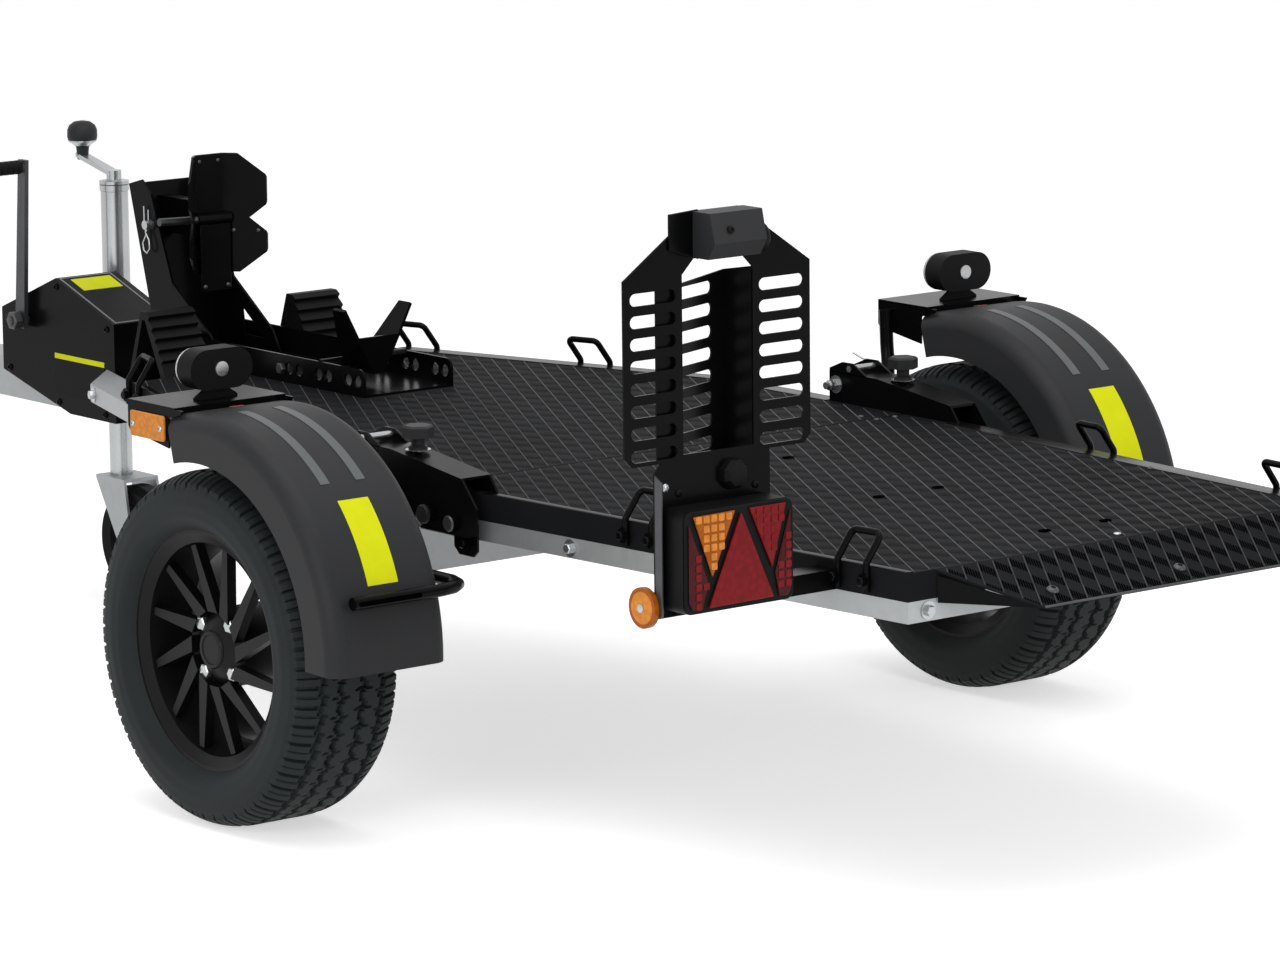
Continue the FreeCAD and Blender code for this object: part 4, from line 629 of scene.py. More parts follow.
class TRAILER_OT_tread_plate(bpy.types.Operator):
    """Raise the diamond tread of the deck and of the ramp lip"""
    bl_idname = "trailer.tread_plate"
    bl_label = "Tread plate"

    def execute(self, context):
        cell = context.scene.trailer_sizes.bar_cell
        height = context.scene.trailer_sizes.bar_height
        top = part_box("front_deck_plate")[1].z
        side = LEFT
        seam = at_mm(-1097, 0, 0) + UP * top
        for name, low_x, high_x in (("rear", -1095, -120), ("front", -114, 956)):
            def allowed(spot):
                x, y = (spot.x - AXLE) / MM, spot.y / MM
                if x > 560 and abs(y) < 90:
                    return False
                return low_x < x < high_x and abs(y) < edge_at(x) - band_at(y)
            crests, bars = bmesh.new(), bmesh.new()
            rows = 45 if name == "front" else 43
            start = seam if name == "rear" else at_mm(955, 0, 0) + UP * top
            diamonds(crests, bars, start, AHEAD if name == "rear" else BACK,
                     -side if name == "rear" else side, UP,
                     cell, height, allowed, rows, 36)
            # The crests carry a painted highlight: their grey stands in for light caught along the diamond lines.
            piece(name + "_tread_crests", crests, "crest", "frame")
            piece(name + "_tread_bars", bars, "plate", "frame")
        run, drop = 124.0, 45.0
        along = Vector((-run, 0, -drop)).normalized()
        normal = Vector((-drop, 0, run)).normalized()
        length = math.hypot(run, drop)
        start = at_mm(-1097, 0, 485)

        def on_lip(spot):
            a, b = (spot - start).dot(along) / MM, spot.y / MM
            return 1 < a < length - 2 and abs(b) < 353 - 85 * a / length
        crests, bars = bmesh.new(), bmesh.new()
        diamonds(crests, bars, start, along, side, normal, cell, height, on_lip, 8, 30)
        # The lip's crests carry the same painted highlight in their grey.
        piece("ramp_tread_crests", crests, "crest", "frame")
        # The lip's bars are painted black: painted shade for their shaded sides.
        piece("ramp_tread_bars", bars, "pit", "frame")
        gussets = bmesh.new()
        for sign in (1, -1):
            edge = Vector((-124, -85 * sign, 0)) * MM
            slab(gussets, [(0.02, 0.476), (1.0, 0.4385), (0.02, 0.4385)], 0.002, at_mm(-1097, sign * 355, 0),
                 edge,
                 UP, Vector((85, -124 * sign, 0)).normalized())
        piece("ramp_gussets", gussets, "powder", "frame", smooth_angle=30)
        heads = []
        for b in (226, -12, -250):
            heads.append((start + along * 0.099 + side * b * MM + normal * height * 0.3, normal))
        bolts("ramp_screws", "frame", "bar", heads, 0.018, kind=button_head)
        self.edges(top / MM)
        self.marks(top / MM)
        return {"FINISHED"}

    def edges(self, top):
        for side, sign in SIDES:
            for word, xs in (("rear", (-1094, -230)), ("front", (62, 362, 944))):
                bm = bmesh.new()
                edge_strip(bm, xs, sign, top)
                piece(f"{side}_{word}_deck_edge", bm, "powder", "frame", smooth_angle=40)
        low = at_mm(-1097 - 124, 0, 440)
        plate("ramp_edge", "frame", "bar", rounded_box(0.268, 0.0014, 0.0006, 2), 0.0022,
              low + Vector((0.001, 0, -0.0005)),
              (0, 1, 0), UP, BACK)

    def marks(self, top):
        """Oblong drain plugs on the deck and the flat screws that hold it down."""
        bm = bmesh.new()
        for x, y in ((-638, 57), (-638, -57), (-992, 58), (-992, -58), (-300, 57), (-300, -57)):
            slab(bm, rounded_box(0.007, 0.0095, 0.0068, 4), 0.0019, at_mm(x, y, top), AHEAD,
                 LEFT, UP)
        # The plugs are painted black: painted shade for the shade in their drain holes.
        piece("drain_plugs", bm, "pit", "frame", smooth_angle=30)
        heads = []
        bolts("seam_screw", "frame", "zinc", [(at_mm(-1078, 0, top + 0.2), UP)], 0.011, kind=button_head)
        for x, y in ((-730, 395), (-730, -395), (-131, 380), (-131, -380), (-131, 418), (-131, -418),
                     (-94, 380), (-94, -380)):
            heads.append((at_mm(x, y, top + 0.2), UP))
        bolts("deck_screws", "frame", "bar", heads, 0.009, kind=button_head)


class TRAILER_OT_wheel_trim(bpy.types.Operator):
    """Add the wheel bolts and the plain hub caps"""
    bl_idname = "trailer.wheel_trim"
    bl_label = "Wheel trim"

    def execute(self, context):
        for side, sign in SIDES:
            centre = hub(side)
            out = Vector((0, sign, 0))
            face = centre + out * 0.045
            heads = []
            for index in range(4):
                angle = math.radians(40 + 90 * index)
                heads.append((face + Vector((math.cos(angle), 0, math.sin(angle))) * 0.05, out))
            bolts(side + "_wheel_bolts", side + "_wheel", "zinc", heads, 0.019)
            turned(side + "_hub_cap", side + "_wheel", "alloy", centre + out * 0.0605, out, ((0, 0.029),
                   (0.003, 0.029), (0.0055, 0.027), (0.006, 0.022), (0.0045, 0.021), (0.0045, 0.001)), 40)
        return {"FINISHED"}


LENS_FIELDS = (
    ("flasher", "amber", ((0.06, 0.03), (0.45, 0.02), (0.235, 0.66)), 0.004),
    ("centre_triangle", "red", ((0.505, 0.05), (0.20, 0.97), (0.81, 0.96)), 0.005),
    ("brake_triangle", "red", ((0.585, 0.02), (0.93, 0.02), (0.80, 0.66)), 0.004),
    ("outer_field", "dark_red", ((0.02, 0.10), (0.205, 0.72), (0.145, 0.97), (0.05, 0.97), (0.02, 0.90)),
     0.003),
    ("inner_field", "dark_red", ((0.98, 0.08), (0.98, 0.90), (0.95, 0.97), (0.87, 0.97), (0.83, 0.72)),
     0.003))


def inside(outline, a, b):
    """Whether a point lies within an outline."""
    within = False
    for (a0, b0), (a1, b1) in zip(outline, outline[1:] + outline[:1]):
        if (b0 > b) != (b1 > b) and a < a0 + (a1 - a0) * (b - b0) / (b1 - b0):
            within = not within
    return within


class TRAILER_OT_rear_lamps(bpy.types.Operator):
    """Fit the rear lamp lenses: an amber flasher, a reflex triangle and red fields"""
    bl_idname = "trailer.rear_lamps"
    bl_label = "Rear lamps"

    def execute(self, context):
        bevel = context.scene.trailer_sizes.lens_bevel
        low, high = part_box("rear_lamps")
        wide, tall = 0.184, 0.134
        for side, sign in SIDES:
            middle = Vector((low.x, sign * 0.627, (low.z + high.z) / 2))
            u = Vector((0, -sign, 0))
            plate(side + "_lens_frame", "frame", "nylon",
                  rounded_box(wide / 2 + 0.0025, tall / 2 + 0.0025, 0.012), 0.003,
                  middle, u, UP, BACK, bevel=bevel)
            face = middle + BACK * 0.003
            for word, finish_name, spots, lift in LENS_FIELDS:
                outline = [((a - 0.5) * wide, (0.5 - b) * tall) for a, b in spots]
                plate(f"{side}_{word}", "frame", finish_name, outline, lift, face, u, UP, BACK, bevel=bevel)
                if word != "centre_triangle":
                    self.optics(f"{side}_{word}_optics", outline, face + BACK * lift, u,
                                "orange" if finish_name == "amber" else "red")
        self.number_panel()
        self.slotted_panel()
        self.reflectors()
        return {"FINISHED"}

    def optics(self, name, outline, face, u, finish_name):
        """Square cells in rows behind a field's skin, 13 mm apart."""
        bm = bmesh.new()
        for row in range(11):
            for column in range(16):
                a = -0.086 + 0.013 * column
                b = 0.058 - 0.013 * row
                if all(inside(outline, a + c, b + d) for c,
                       d in ((0.003, 0), (-0.003, 0), (0, 0.003), (0, -0.003))):
                    slab(bm, rounded_box(0.0048, 0.0048, 0.0016, 2), 0.001, face + u * a + UP * b, u, UP,
                         BACK)
        piece(name, bm, finish_name, "frame", smooth_angle=40)

    def slotted_panel(self):
        """The arm, the folded plate and the number panel, whose screen is slotted on one of its two walls."""
        bm = bmesh.new()
        side = LEFT
        centre = 0.621
        slot = rounded_box(0.039, 0.0085, 0.0084, 5)
        holes = [moved(slot, centre + shift * 0.111, 0.669 + 0.030 * row) for shift in (-1,
                                                                                        1) for row in range(8)]
        holes.append([(centre + a, b) for a,
                      b in ((-0.061, 0.663), (0.061, 0.663), (0.061, 0.905), (0.041, 0.925),
                                                   (-0.041, 0.925), (-0.061, 0.905))])
        outline = [(centre + a, b) for a,
                   b in ((-0.1495, 0.655), (0.1495, 0.655), (0.1615, 0.667), (0.1615, 0.905),
                                                (0.038, 0.989), (-0.038, 0.989), (-0.1615, 0.905),
                                                (-0.1615, 0.667))]
        pierce(bm, outline, holes, 0.003, at_mm(-957, 0, 0), side, UP, BACK)
        slab(bm, [(0.532, 0.447), (0.732, 0.447), (0.732, 0.643), (0.720, 0.655), (0.532, 0.655)], 0.003,
             at_mm(-957, 0, 0), side, UP, BACK)
        slab(bm, [(-0.960, 0.445), (-0.920, 0.445), (-0.920, 0.473), (-0.960, 0.473)],
             edge_at(-940) * MM - 0.732,
             Vector((AXLE, 0.732, 0)), AHEAD, UP, side)
        ridge_spot = at_mm(-915, 576, 0)
        for start, slotted, rim in ((at_mm(-957, 694, 0), True, 0.892), (at_mm(-957, 560, 0), False, 0.905)):
            across = ridge_spot - start
            length = across.length
            u = across.normalized()
            middle, half = 0.41 * length, 0.33 * length
            holes = [moved(rounded_box(half, 0.0085, 0.0084, 5), middle,
                           0.669 + 0.030 * row) for row in range(8)]
            pierce(bm, [(0, 0.650), (length, 0.650), (length, 0.898), (0, rim)], holes if slotted else [],
                   0.0025,
                   start, u, UP, u.cross(UP))
        slab(bm, [(0.682, 0.655), (0.722, 0.655), (0.722, 0.893), (0.682, 0.893)], 0.0025, at_mm(-951, 0, 0),
             side, UP, BACK)
        bracket = piece("left_panel_and_screen", bm, "powder", "frame", smooth_angle=30)
        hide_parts("left_lamp_bracket")

    def reflectors(self):
        """A silver centre disc and a rim on each round side reflector."""
        low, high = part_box("side_reflectors")
        radius = (high.z - low.z) / 2
        for side, sign in SIDES:
            edge = high.y if sign > 0 else low.y
            middle = Vector(((low.x + high.x) / 2, edge, (low.z + high.z) / 2))
            out = Vector((0, sign, 0))
            turned(side + "_reflector_eye", "frame", "zinc", middle, out, ((0, 0.0065), (0.003, 0.006),
                   (0.0036, 0.003)), 20)
            turned(side + "_reflector_field", "frame", "orange", middle, out, ((0, radius * 0.8),
                   (0.0012, radius * 0.76), (0.0018, radius * 0.3)), 36)

    def number_panel(self):
        """The plate lamp's mount and screw, the folded flange, and the hardware under the panel."""
        bm = bmesh.new()
        slab(bm, [(0.656, 0.924), (0.706, 0.940), (0.706, 0.988), (0.656, 0.991)], 0.004, at_mm(-960, 0, 0),
             LEFT, UP, BACK)
        piece("plate_lamp_mount", bm, "powder", "frame", smooth_angle=30, bevel=0.001)
        turned("plate_lamp_window", "frame", "nylon", at_mm(-985, 577, 949), (0, -1, 0), ((0, 0.021),
               (0.009, 0.021), (0.013, 0.018), (0.014, 0.012)), 28, smooth_angle=40)
        bolts("plate_lamp_screw", "frame", "nylon", [(at_mm(-1007, 636, 966), (-1, 0, 0.22))], 0.011,
              kind=button_head)
        bm = bmesh.new()
        slab(bm, [(-0.960, 0.640), (-0.974, 0.632), (-0.974, 0.450), (-0.960, 0.446)], 0.003,
             Vector((AXLE, 0.7295, 0)), AHEAD, UP, LEFT)
        piece("panel_flange", bm, "bar", "frame", smooth_angle=30, bevel=0.0006)
        bolts("flange_bolt", "frame", "zinc", [(at_mm(-962, 716, 622), BACK)], 0.012, kind=button_head)
        bolts("panel_screws", "frame", "nylon",
              [(at_mm(-960, 691, 612), BACK), (at_mm(-960, 558, 608), BACK)],
              0.011, kind=button_head)
        turned("panel_clamp_knob", "frame", "nylon", at_mm(-960, 600, 628), BACK, ((0, 0.022), (0.010, 0.021),
               (0.016, 0.016), (0.018, 0.008)), 8, turn=math.pi / 8)


def arc_patch(bm, centre, radius, lift, start, end, low_y, high_y, steps):
    """A thin curved slab on a round about a centre in the XZ plane, between two angles and two widths."""
    rings = []
    for index in range(steps + 1):
        angle = math.radians(start + (end - start) * index / steps)
        out = Vector((math.cos(angle), 0, math.sin(angle)))
        ring = []
        for reach, y in ((radius, low_y), (radius, high_y), (radius + lift, high_y), (radius + lift, low_y)):
            ring.append(bm.verts.new(centre + out * reach + Vector((0, y, 0))))
        rings.append(ring)
    for here, there in zip(rings, rings[1:]):
        for index in range(4):
            after = (index + 1) % 4
            bm.faces.new((here[index], here[after], there[after], there[index]))
    bm.faces.new(rings[0])
    bm.faces.new(list(reversed(rings[-1])))
    bmesh.ops.recalc_face_normals(bm, faces=bm.faces)


class TRAILER_OT_fender_trim(bpy.types.Operator):
    """Fit each fender's folded cap and tubes, grey strips, blank label, reflector and lamp faces"""
    bl_idname = "trailer.fender_trim"
    bl_label = "Fender trim"

    def execute(self, context):
        for side, sign in SIDES:
            low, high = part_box(side + "_fender")
            radius = 0.326
            middle = Vector((low.x + radius, 0, high.z - radius))
            width = 0.727 * sign
            bm = bmesh.new()
            for y in (-0.031, 0.031):
                arc_patch(bm, middle, radius, 0.0009, 92, 131, width + y - 0.008, width + y + 0.008, 24)
            piece(side + "_fender_strips", bm, "grey_strip", "frame", smooth_angle=40)
            bm = bmesh.new()
            arc_patch(bm, middle, radius, 0.0005, 136.5, 160, width - 0.0265, width + 0.0265, 16)
            piece(side + "_fender_label", bm, "label", "frame", smooth_angle=40)
            self.stays(side, sign)
            self.bracket(side, sign)
        return {"FINISHED"}

    def stays(self, side, sign):
        """The folded cap over the fender's front end, its strut, and the tube that carries the rear."""
        out = Vector((0, sign, 0))
        bm = bmesh.new()
        slab(bm, [(0.030, 0.628), (0.150, 0.628), (0.150, 0.826), (0.030, 0.826)], 0.003, at_mm(0, 0, 616.3),
             AHEAD, out, UP)
        for y in (628, 823):
            slab(bm, [(0.010, 0.617), (0.014, 0.611), (0.046, 0.602), (0.046, 0.558), (0.146, 0.574),
                      (0.150, 0.580), (0.150, 0.617)], 0.003,
                 at_mm(0, sign * y, 0), AHEAD, UP, out)
        slab(bm, [(0.628, 0.606), (0.826, 0.606), (0.826, 0.617), (0.628, 0.617)], 0.003, at_mm(31, 0, 0),
             out, UP, AHEAD)
        front = ((123.6, 621, 606), (121, 621, 552), (117, 620, 522), (108, 612, 502), (72, 575, 450),
                 (63, 565, 434),
                 (60, 562, 420), (60, 562, 402.3))
        rear = ((-358, 795, 384), (-358, 640, 384), (-352, 612, 384), (-338, 594, 384), (-314, 586, 384),
                (20, 586, 384))
        wire(bm, [at_mm(x, sign * y, z) for x, y, z in front], 0.011, 18)
        wire(bm, [at_mm(x, sign * y, z) for x, y, z in rear], 0.0095, 18)
        cap = piece(side + "_fender_bracket", bm, "powder", "frame", smooth_angle=35)
        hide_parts(side + "_fender_stays")
        # The slot is painted black: painted shade inside it.
        plate(side + "_stay_slot", "frame", "pit", rounded_box(0.055, 0.0035, 0.003, 3), 0.0012,
              at_mm(-367, sign * 735, 384), out, UP, -AHEAD)

    def bracket(self, side, sign):
        """The reflector on the front bracket, the dot on top of it and the two faces of the outline lamp."""
        out = Vector((0, sign, 0))
        centre = at_mm(95, 0, 586) + out * 0.8261
        plate(side + "_front_reflector", "frame", "orange", rounded_box(0.043, 0.019, 0.004), 0.005, centre,
              (1, 0, 0), UP, out, bevel=0.0015)
        bolts(side + "_reflector_screws", "frame", "zinc",
              [(centre + Vector((shift, 0, 0)) + out * 0.005, out) for shift in (-0.035, 0.035)], 0.009,
              kind=button_head)
        for word, finish_name, radius, lift in (("rim", "pale_label", 0.011, 0.0004),
                                                ("dot", "red_label", 0.009, 0.0008)):
            turned(f"{side}_bracket_{word}", "frame", finish_name, at_mm(14, sign * 727, 613.3),
                   (0.141, 0, 0.99), ((0, radius), (lift, radius)), 28)
        middle = at_mm(0, sign * 727, 664.3)
        turned(side + "_outline_lamp_eye", "frame", "zinc", middle + Vector((0.050, 0, 0)), BACK,
               ((0, 0.0115), (0.0016, 0.011), (0.002, 0.008)), 24)
        plate(side + "_outline_lamp_lens", "frame", "clear", rounded_box(0.054, 0.029, 0.0288, 8), 0.007,
              middle + Vector((0.086, 0, 0)), LEFT, UP, AHEAD, bevel=0.003)


class TRAILER_OT_winch_trim(bpy.types.Operator):
    """Dress the winch cover, its crank and the jockey wheel's handle"""
    bl_idname = "trailer.winch_trim"
    bl_label = "Winch and jockey wheel"

    def execute(self, context):
        half = 62
        heads = []
        for side, sign in SIDES:
            for x, z in ((1657, 492), (1504, 562), (1352, 505), (1656, 405), (1504, 362), (1362, 357)):
                heads.append((at_mm(x, sign * (half + 0.2), z), (0, sign, 0)))
        bolts("winch_screws", "frame", "powder", heads, 0.012, kind=button_head)
        self.labels(half)
        bm = bmesh.new()
        hex_bolt(bm, at_mm(1598, half + 19, 496), LEFT, 0.028, washer=False)
        stack(bm, at_mm(1598, half + 33, 496), LEFT, ((0, 0.008), (0.003, 0.008), (0.004, 0.006)), 20)
        piece("crank_nut", bm, "bar", "winch_handle", smooth_angle=35)
        bm = bmesh.new()
        rings = [(0, 0.0102)]
        for index in range(9):
            rings += [(0.004 + 0.011 * index, 0.0122), (0.011 + 0.011 * index, 0.0122),
                      (0.013 + 0.011 * index, 0.0114)]
        stack(bm, at_mm(1578, half + 18.5, 764), LEFT, rings + [(0.1035, 0.0115), (0.1045, 0.009)], 24)
        piece("crank_grip", bm, "nylon", "winch_handle", smooth_angle=35)
        self.jockey_handle()
        return {"FINISHED"}

    def labels(self, half):
        """Blank labels: a dark one with a pale border on the sloping roof, and one with a yellow head on the side."""
        slope = Vector((176, 0, 61)).normalized()
        normal = Vector((-61, 0, 176)).normalized()
        foot = at_mm(1330, 4, 516) + normal * 0.0002
        across = Vector((0, -1, 0))
        length = math.hypot(176, 61) * MM
        for word, finish_name, margin, lift in (("border", "pale_label", 0.003, 0.0004),
                                                ("field", "black_label", 0.0065, 0.0008)):
            wide = 0.056 - margin
            outline = [(-wide, margin), (wide, margin), (wide, length - margin), (-wide, length - margin)]
            plate("winch_roof_label_" + word, "frame", finish_name, outline, lift, foot, across, slope,
                  normal)
        outline = [(-0.036, length - 0.058), (0.044, length - 0.058), (0.044, length - 0.014),
                   (-0.036, length - 0.014)]
        plate("winch_roof_label_patch", "frame", "label", outline, 0.0012, foot, across, slope, normal)
        side = at_mm(1437, half + 0.1, 411)
        out = LEFT
        plate("winch_side_label", "frame", "black_label", rounded_box(0.076, 0.036, 0.002, 2), 0.0005, side,
              AHEAD, UP, out)
        outline = [(-0.076, 0.027), (0.076, 0.027), (0.076, 0.036), (-0.076, 0.036)]
        plate("winch_side_label_head", "frame", "label", outline, 0.0009, side, AHEAD, UP, out)

    def jockey_handle(self):
        place = joint_place("jockey_crank_turn") / MM
        knob = Vector((place.x + 96, place.y, place.z + 34)) * MM
        rings = ((0.0, 0.0094), (0.022, 0.0115), (0.033, 0.0248), (0.040, 0.0264), (0.052, 0.0260),
                 (0.060, 0.0225),
                 (0.066, 0.0142), (0.0679, 0.003))
        turned("jockey_knob", "jockey_handle", "fender", knob, UP, rings, 36, smooth_angle=40)
        turned("jockey_collar", "frame", "zinc", Vector(place) * MM - Vector((0, 0, 0.012)), UP, ((0, 0.0243),
               (0.001, 0.0258), (0.011, 0.0258), (0.012, 0.0243)), 40, smooth_angle=35)


class TRAILER_OT_chock_trim(bpy.types.Operator):
    """Add the cradle's strap and screws, its spring clip and the base's bolts"""
    bl_idname = "trailer.chock_trim"
    bl_label = "Chock trim"

    def execute(self, context):
        plate("cradle_strap", "frame", "powder",
              [(-0.030, 0.592), (0.030, 0.592), (0.031, 0.704), (-0.031, 0.704)], 0.004,
              at_mm(1114, 0, 0), LEFT, UP, BACK, bevel=0.0008)
        heads = [(at_mm(1110, y, 600), BACK) for y in (-23, 23)]
        heads += [(at_mm(1126, y, 808), BACK) for y in (-19, 19)]
        for y in (-38, -66):
            across = (abs(y) - 26) / 50
            heads.append((at_mm(1125.5 - 56 * across, y, 690), (-0.664, 0.747, 0)))
        bolts("cradle_screws", "frame", "bar", heads, 0.0075, kind=button_head)
        bm = bmesh.new()
        wire(bm, [at_mm(1117, 24, 713), at_mm(1117, 108, 716)], 0.0065, 16)
        piece("cradle_bar", bm, "bar", "frame", smooth_angle=35)
        bm = bmesh.new()
        wire(bm, [at_mm(x, 69 + shift, z) for x, shift, z in
                  ((1219, 0, 730), (1217, 1, 700), (1214, 0, 682), (1220, 3, 668), (1216, 4, 656),
                   (1207, 4, 652),
                   (1200, 3, 660), (1203, 2, 674), (1211, 3, 686), (1206, 1, 698), (1203, 2, 708),
                   (1200, 4, 726))],
             0.0016, 8)
        wire(bm, [at_mm(1206, 56, 700), at_mm(1206, 78, 700)], 0.008, 16)
        piece("spring_clip", bm, "zinc", "frame", smooth_angle=50)
        heads = []
        for side, sign in SIDES:
            for x in (800, 1010):
                heads.append((at_mm(x, sign * 85.2, 507), (0, sign, 0)))
        bolts("base_bolts", "frame", "bar", heads, 0.017)
        return {"FINISHED"}


class TRAILER_OT_fasteners(bpy.types.Operator):
    """Fit the bolts and screws that hold the frame, the lashing rings and the lock brackets"""
    bl_idname = "trailer.fasteners"
    bl_label = "Fasteners"

    def execute(self, context):
        across = context.scene.trailer_sizes.bolt_across
        ring_bolts = []
        for x in (-996, -570, 600, 930):
            for shift in (-27.5, 27.5):
                edge = edge_at(x + shift)
                for sign in (1, -1):
                    ring_bolts.append((at_mm(x + shift, sign * (edge + 10.5), 466), (0, sign, 0)))
        bolts("ring_bolts", "frame", "powder", ring_bolts, across * 0.8)
        rail_bolts = []
        for sign in (1, -1):
            for x, slope in ((-420, 0.0704), (-30, 0.0), (300, 0.0), (700, -0.3294), (1180, -0.3294)):
                rail_bolts.append((at_mm(x, sign * (edge_at(x) + 0.2), 430), (-slope, sign, 0)))
            rail_bolts.append((at_mm(-1097.2, sign * 369, 430), BACK))
        bolts("rail_bolts", "frame", "zinc", rail_bolts, across * 0.9)
        for side, sign in SIDES:
            self.lock_bracket(side, sign, across)
        return {"FINISHED"}

    def lock_bracket(self, side, sign, across):
        """Washer, pivot cap, roller, latch bolt and clip around a lock bracket."""
        out = Vector((0, sign, 0))
        zinc = bmesh.new()
        stack(zinc, at_mm(-86, sign * 474, 533.05), UP, ((0, 0.019), (0.0004, 0.019)), 32)
        hex_bolt(zinc, at_mm(-118, sign * 502, 432), out, across * 0.75)
        stack(zinc, at_mm(12, sign * 446, 541), out, ((0, 0.0052), (0.058, 0.0052)), 20)
        hex_bolt(zinc, at_mm(43, sign * 447, 513), -out, across)
        stack(zinc, at_mm(43, sign * 437, 513), -out,
              ((0, 0.0085), (0.006, 0.0085), (0.007, 0.006), (0.013, 0.006)), 16)
        piece(side + "_bracket_bolts", zinc, "zinc", "frame", smooth_angle=35)
        turned(side + "_bracket_roller", "frame", "bar", at_mm(-206, sign * 501, 443), out, ((0, 0.0118),
               (0.010, 0.0118), (0.012, 0.0105)), 28, smooth_angle=35)
        turned(side + "_pivot_cap", "frame", "fender", at_mm(-146, sign * 509, 449), out, ((0, 0.0142),
               (0.004, 0.0142), (0.006, 0.0125), (0.0065, 0.004)), 32, smooth_angle=35)
        lugs = bmesh.new()
        for y in (447, 498):
            origin = at_mm(0, sign * y, 0)
            slab(lugs, [(-0.032, 0.531), (0.060, 0.531), (0.060, 0.538), (0.030, 0.550), (0.004, 0.550)],
                 0.004,
                 origin, AHEAD, UP, out)
        slab(lugs, [(-0.232, 0.440), (-0.176, 0.440), (-0.176, 0.402), (-0.188, 0.391), (-0.222, 0.391),
                    (-0.232, 0.400)],
             0.004, at_mm(0, sign * 474.4, 0), AHEAD, UP, out)
        piece(side + "_bracket_lugs", lugs, "powder", "frame", smooth_angle=30, bevel=0.0006)
        bolts(side + "_hanger_bolt", "frame", "powder", [(at_mm(-204, sign * 478.4, 410), out)], across * 0.9)
        clip = bmesh.new()
        wire(clip, [at_mm(x, sign * y, z) for x, y, z in
                    ((64, 500, 556), (50, 506, 548), (34, 508, 545), (10, 507, 536), (-18, 505, 524))],
                    0.0016, 8)
        piece(side + "_latch_clip", clip, "zinc", "frame", smooth_angle=50)


CAD_FINISHES = {
    "galvanised": ("left_front_rail", "right_front_rail", "left_rear_rail", "right_rear_rail",
                   "rear_crossmember",
                   "front_crossmember", "nose_crossmember", "drawbar", "axle_beam", "coupling_head",
                   "jockey_fork", "jockey_clamp", "suspension_arms"),
    "bar": ("winch_crank",),
    "zinc": ("jockey_outer_tube", "jockey_inner_tube", "jockey_crank"),
    "plate": ("front_deck_plate", "rear_deck_plate"),
    "fender": ("left_fender", "right_fender", "plate_lamp", "left_lock_knob", "right_lock_knob"),
    "alloy": ("left_rim", "right_rim"),
    "rubber": ("left_tyre", "right_tyre"),
    "nylon": ("jockey_wheel", "chock_wedges", "marker_lamps", "rear_lamps"),
    "amber": ("side_reflectors",),
}


class TRAILER_OT_finishes(bpy.types.Operator):
    """Give every solid of the frame its finish"""
    bl_idname = "trailer.finishes"
    bl_label = "Finishes"

    def execute(self, context):
        chosen = {node: word for word, nodes in CAD_FINISHES.items() for node in nodes}
        for name, node in frame["nodes"].items():
            material = surface(chosen.get(name, "powder"))
            if not node.material_slots:
                node.data.materials.append(material)
            for slot in node.material_slots:
                slot.material = material
        return {"FINISHED"}


def area_lamp(name, place, target, size, power):
    light = bpy.data.lights.new(name, "AREA")
    light.shape = "RECTANGLE"
    light.size, light.size_y = size
    light.energy = power
    lamp = bpy.data.objects.new(name, light)
    bpy.context.scene.collection.objects.link(lamp)
    lamp.location = place
    lamp.rotation_euler = (Vector(target) - Vector(place)).to_track_quat("-Z", "Y").to_euler()
    return lamp


def seen_rays(owner):
    """1 for camera, mirror and see-through rays, and 0 for the rays that carry soft light."""
    path = add(owner, "ShaderNodeLightPath")
    sharp = add(owner, "ShaderNodeMath", {"operation": "MAXIMUM"})
    either = add(owner, "ShaderNodeMath", {"operation": "MAXIMUM"})
    links = owner.node_tree.links
    links.new(path.outputs["Is Camera Ray"], sharp.inputs[0])
    links.new(path.outputs["Is Glossy Ray"], sharp.inputs[1])
    links.new(sharp.outputs["Value"], either.inputs[0])
    links.new(path.outputs["Is Transmission Ray"], either.inputs[1])
    return either.outputs["Value"]


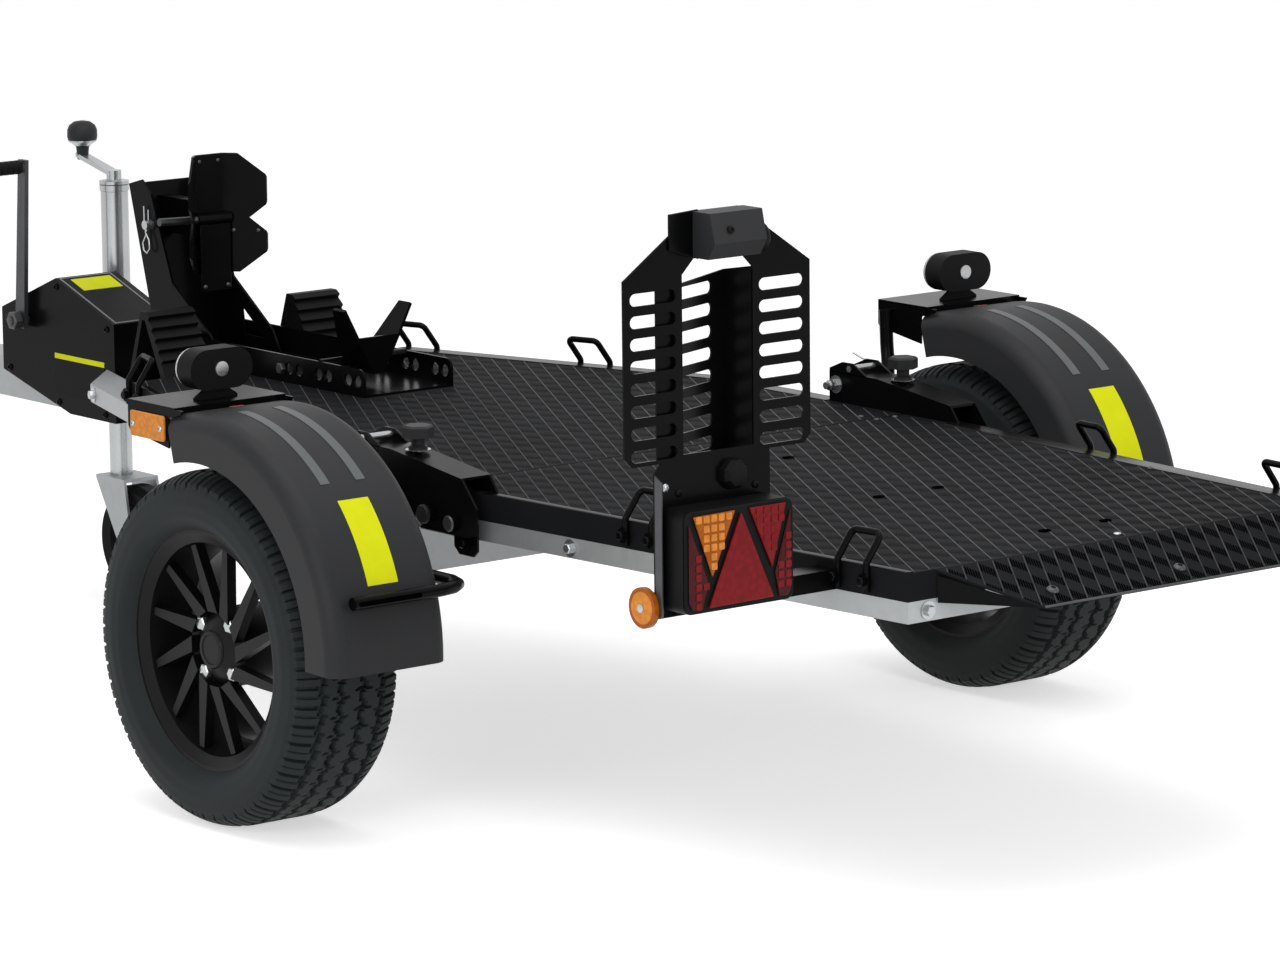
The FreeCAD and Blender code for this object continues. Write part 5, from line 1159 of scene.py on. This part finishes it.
class TRAILER_OT_studio(bpy.types.Operator):
    """Set up the white floor, the soft lights and the camera"""
    bl_idname = "trailer.studio"
    bl_label = "Studio"

    def execute(self, context):
        scene = context.scene
        scene.view_settings.view_transform = "Standard"
        self.world(scene)
        self.floor()
        area_lamp("overhead_softbox", (-1.2, 0.6, 4.2), (-0.3, 0, 0.4), (4.5, 3.5), 95)
        area_lamp("left_softbox", (-2.6, 4.6, 2.2), (-0.3, 0.2, 0.4), (3.0, 2.0), 60)
        area_lamp("rear_softbox", (-5.5, -0.6, 2.0), (-0.6, 0, 0.5), (2.6, 1.8), 40)
        self.camera(scene, scene.trailer_sizes.focal_length)
        return {"FINISHED"}

    def world(self, scene):
        world = bpy.data.worlds.new("studio_air")
        world.use_nodes = True
        scene.world = world
        air = world.node_tree.nodes["Background"]
        air.inputs["Color"].default_value = (1, 1, 1, 1)
        strength = add(world, "ShaderNodeMapRange", {"To Min": 0.4, "To Max": 1.0}, Value=seen_rays(world))
        world.node_tree.links.new(strength.outputs["Result"], air.inputs["Strength"])

    def floor(self):
        bm = bmesh.new()
        bmesh.ops.create_grid(bm, x_segments=1, y_segments=1, size=20.0)
        mesh = bpy.data.meshes.new("studio_floor")
        bm.to_mesh(mesh)
        bm.free()
        floor = bpy.data.objects.new("studio_floor", mesh)
        bpy.context.scene.collection.objects.link(floor)
        floor.location.z = CAD_BOX[0][2] - 0.0005
        material, shader, place = new_material("white_studio_floor")
        mesh.materials.append(material)
        tree = material.node_tree
        cloud = add(material, "ShaderNodeTexNoise", {"Scale": 0.6}, Vector=place).outputs["Fac"]
        finish(material, shader, mixed(material, cloud, (0.93, 0.93, 0.93, 1), (0.96, 0.96, 0.96, 1)),
               ranged(material, cloud, 0.8, 0.9))
        glow = add(material, "ShaderNodeEmission", {"Color": (1, 1, 1, 1), "Strength": 0.56})
        joined = add(material, "ShaderNodeAddShader")
        choice = add(material, "ShaderNodeMixShader", Fac=seen_rays(material))
        tree.links.new(shader.outputs["BSDF"], joined.inputs[0])
        tree.links.new(glow.outputs["Emission"], joined.inputs[1])
        tree.links.new(shader.outputs["BSDF"], choice.inputs[1])
        tree.links.new(joined.outputs["Shader"], choice.inputs[2])
        tree.links.new(choice.outputs["Shader"], tree.nodes["Material Output"].inputs["Surface"])

    def camera(self, scene, focal_length):
        lens = bpy.data.cameras.new("camera")
        lens.lens = focal_length
        lens.sensor_width = 36
        lens.clip_end = 100
        camera = bpy.data.objects.new("camera", lens)
        scene.collection.objects.link(camera)
        yaw, pitch, roll = -0.67540, 0.17751, -0.010327
        ahead = Vector((math.cos(yaw) * math.cos(pitch), math.sin(yaw) * math.cos(pitch), -math.sin(pitch)))
        level = ahead.cross(Vector((0, 0, 1))).normalized()
        upright = level.cross(ahead)
        right = level * math.cos(roll) + upright * math.sin(roll)
        top = upright * math.cos(roll) - level * math.sin(roll)
        turn = Matrix((right, top, -ahead)).transposed().to_4x4()
        camera.matrix_world = Matrix.Translation(at_mm(-7067.08, 5648.99, 2041.48)) @ turn
        scene.camera = camera


STEPS = ("trailer.finishes", "trailer.tyres", "trailer.wheel_trim", "trailer.tread_plate",
         "trailer.rear_lamps",
         "trailer.fender_trim", "trailer.winch_trim", "trailer.chock_trim", "trailer.fasteners",
         "trailer.studio")


class TRAILER_PT_panel(bpy.types.Panel):
    bl_label = "Motorcycle trailer"
    bl_idname = "TRAILER_PT_panel"
    bl_space_type = "VIEW_3D"
    bl_region_type = "UI"
    bl_category = "Trailer"

    def draw(self, context):
        layout = self.layout
        for group in (context.scene.trailer_sizes, context.scene.trailer_colours):
            box = layout.box()
            for name in group.__annotations__:
                box.prop(group, name)
        for step in STEPS:
            layout.operator(step)


CLASSES = (TrailerSizes, TrailerColours, TRAILER_OT_finishes, TRAILER_OT_tyres, TRAILER_OT_wheel_trim,
           TRAILER_OT_tread_plate, TRAILER_OT_rear_lamps, TRAILER_OT_fender_trim, TRAILER_OT_winch_trim,
           TRAILER_OT_chock_trim, TRAILER_OT_fasteners, TRAILER_OT_studio, TRAILER_PT_panel)


def register():
    for cls in CLASSES:
        bpy.utils.register_class(cls)
    bpy.types.Scene.trailer_sizes = bpy.props.PointerProperty(type=TrailerSizes)
    bpy.types.Scene.trailer_colours = bpy.props.PointerProperty(type=TrailerColours)


def unregister():
    del bpy.types.Scene.trailer_colours
    del bpy.types.Scene.trailer_sizes
    for cls in reversed(CLASSES):
        bpy.utils.unregister_class(cls)


def main():
    register()
    for step in STEPS:
        group, name = step.split(".")
        getattr(getattr(bpy.ops, group), name)()


if __name__ == "__main__":
    main()
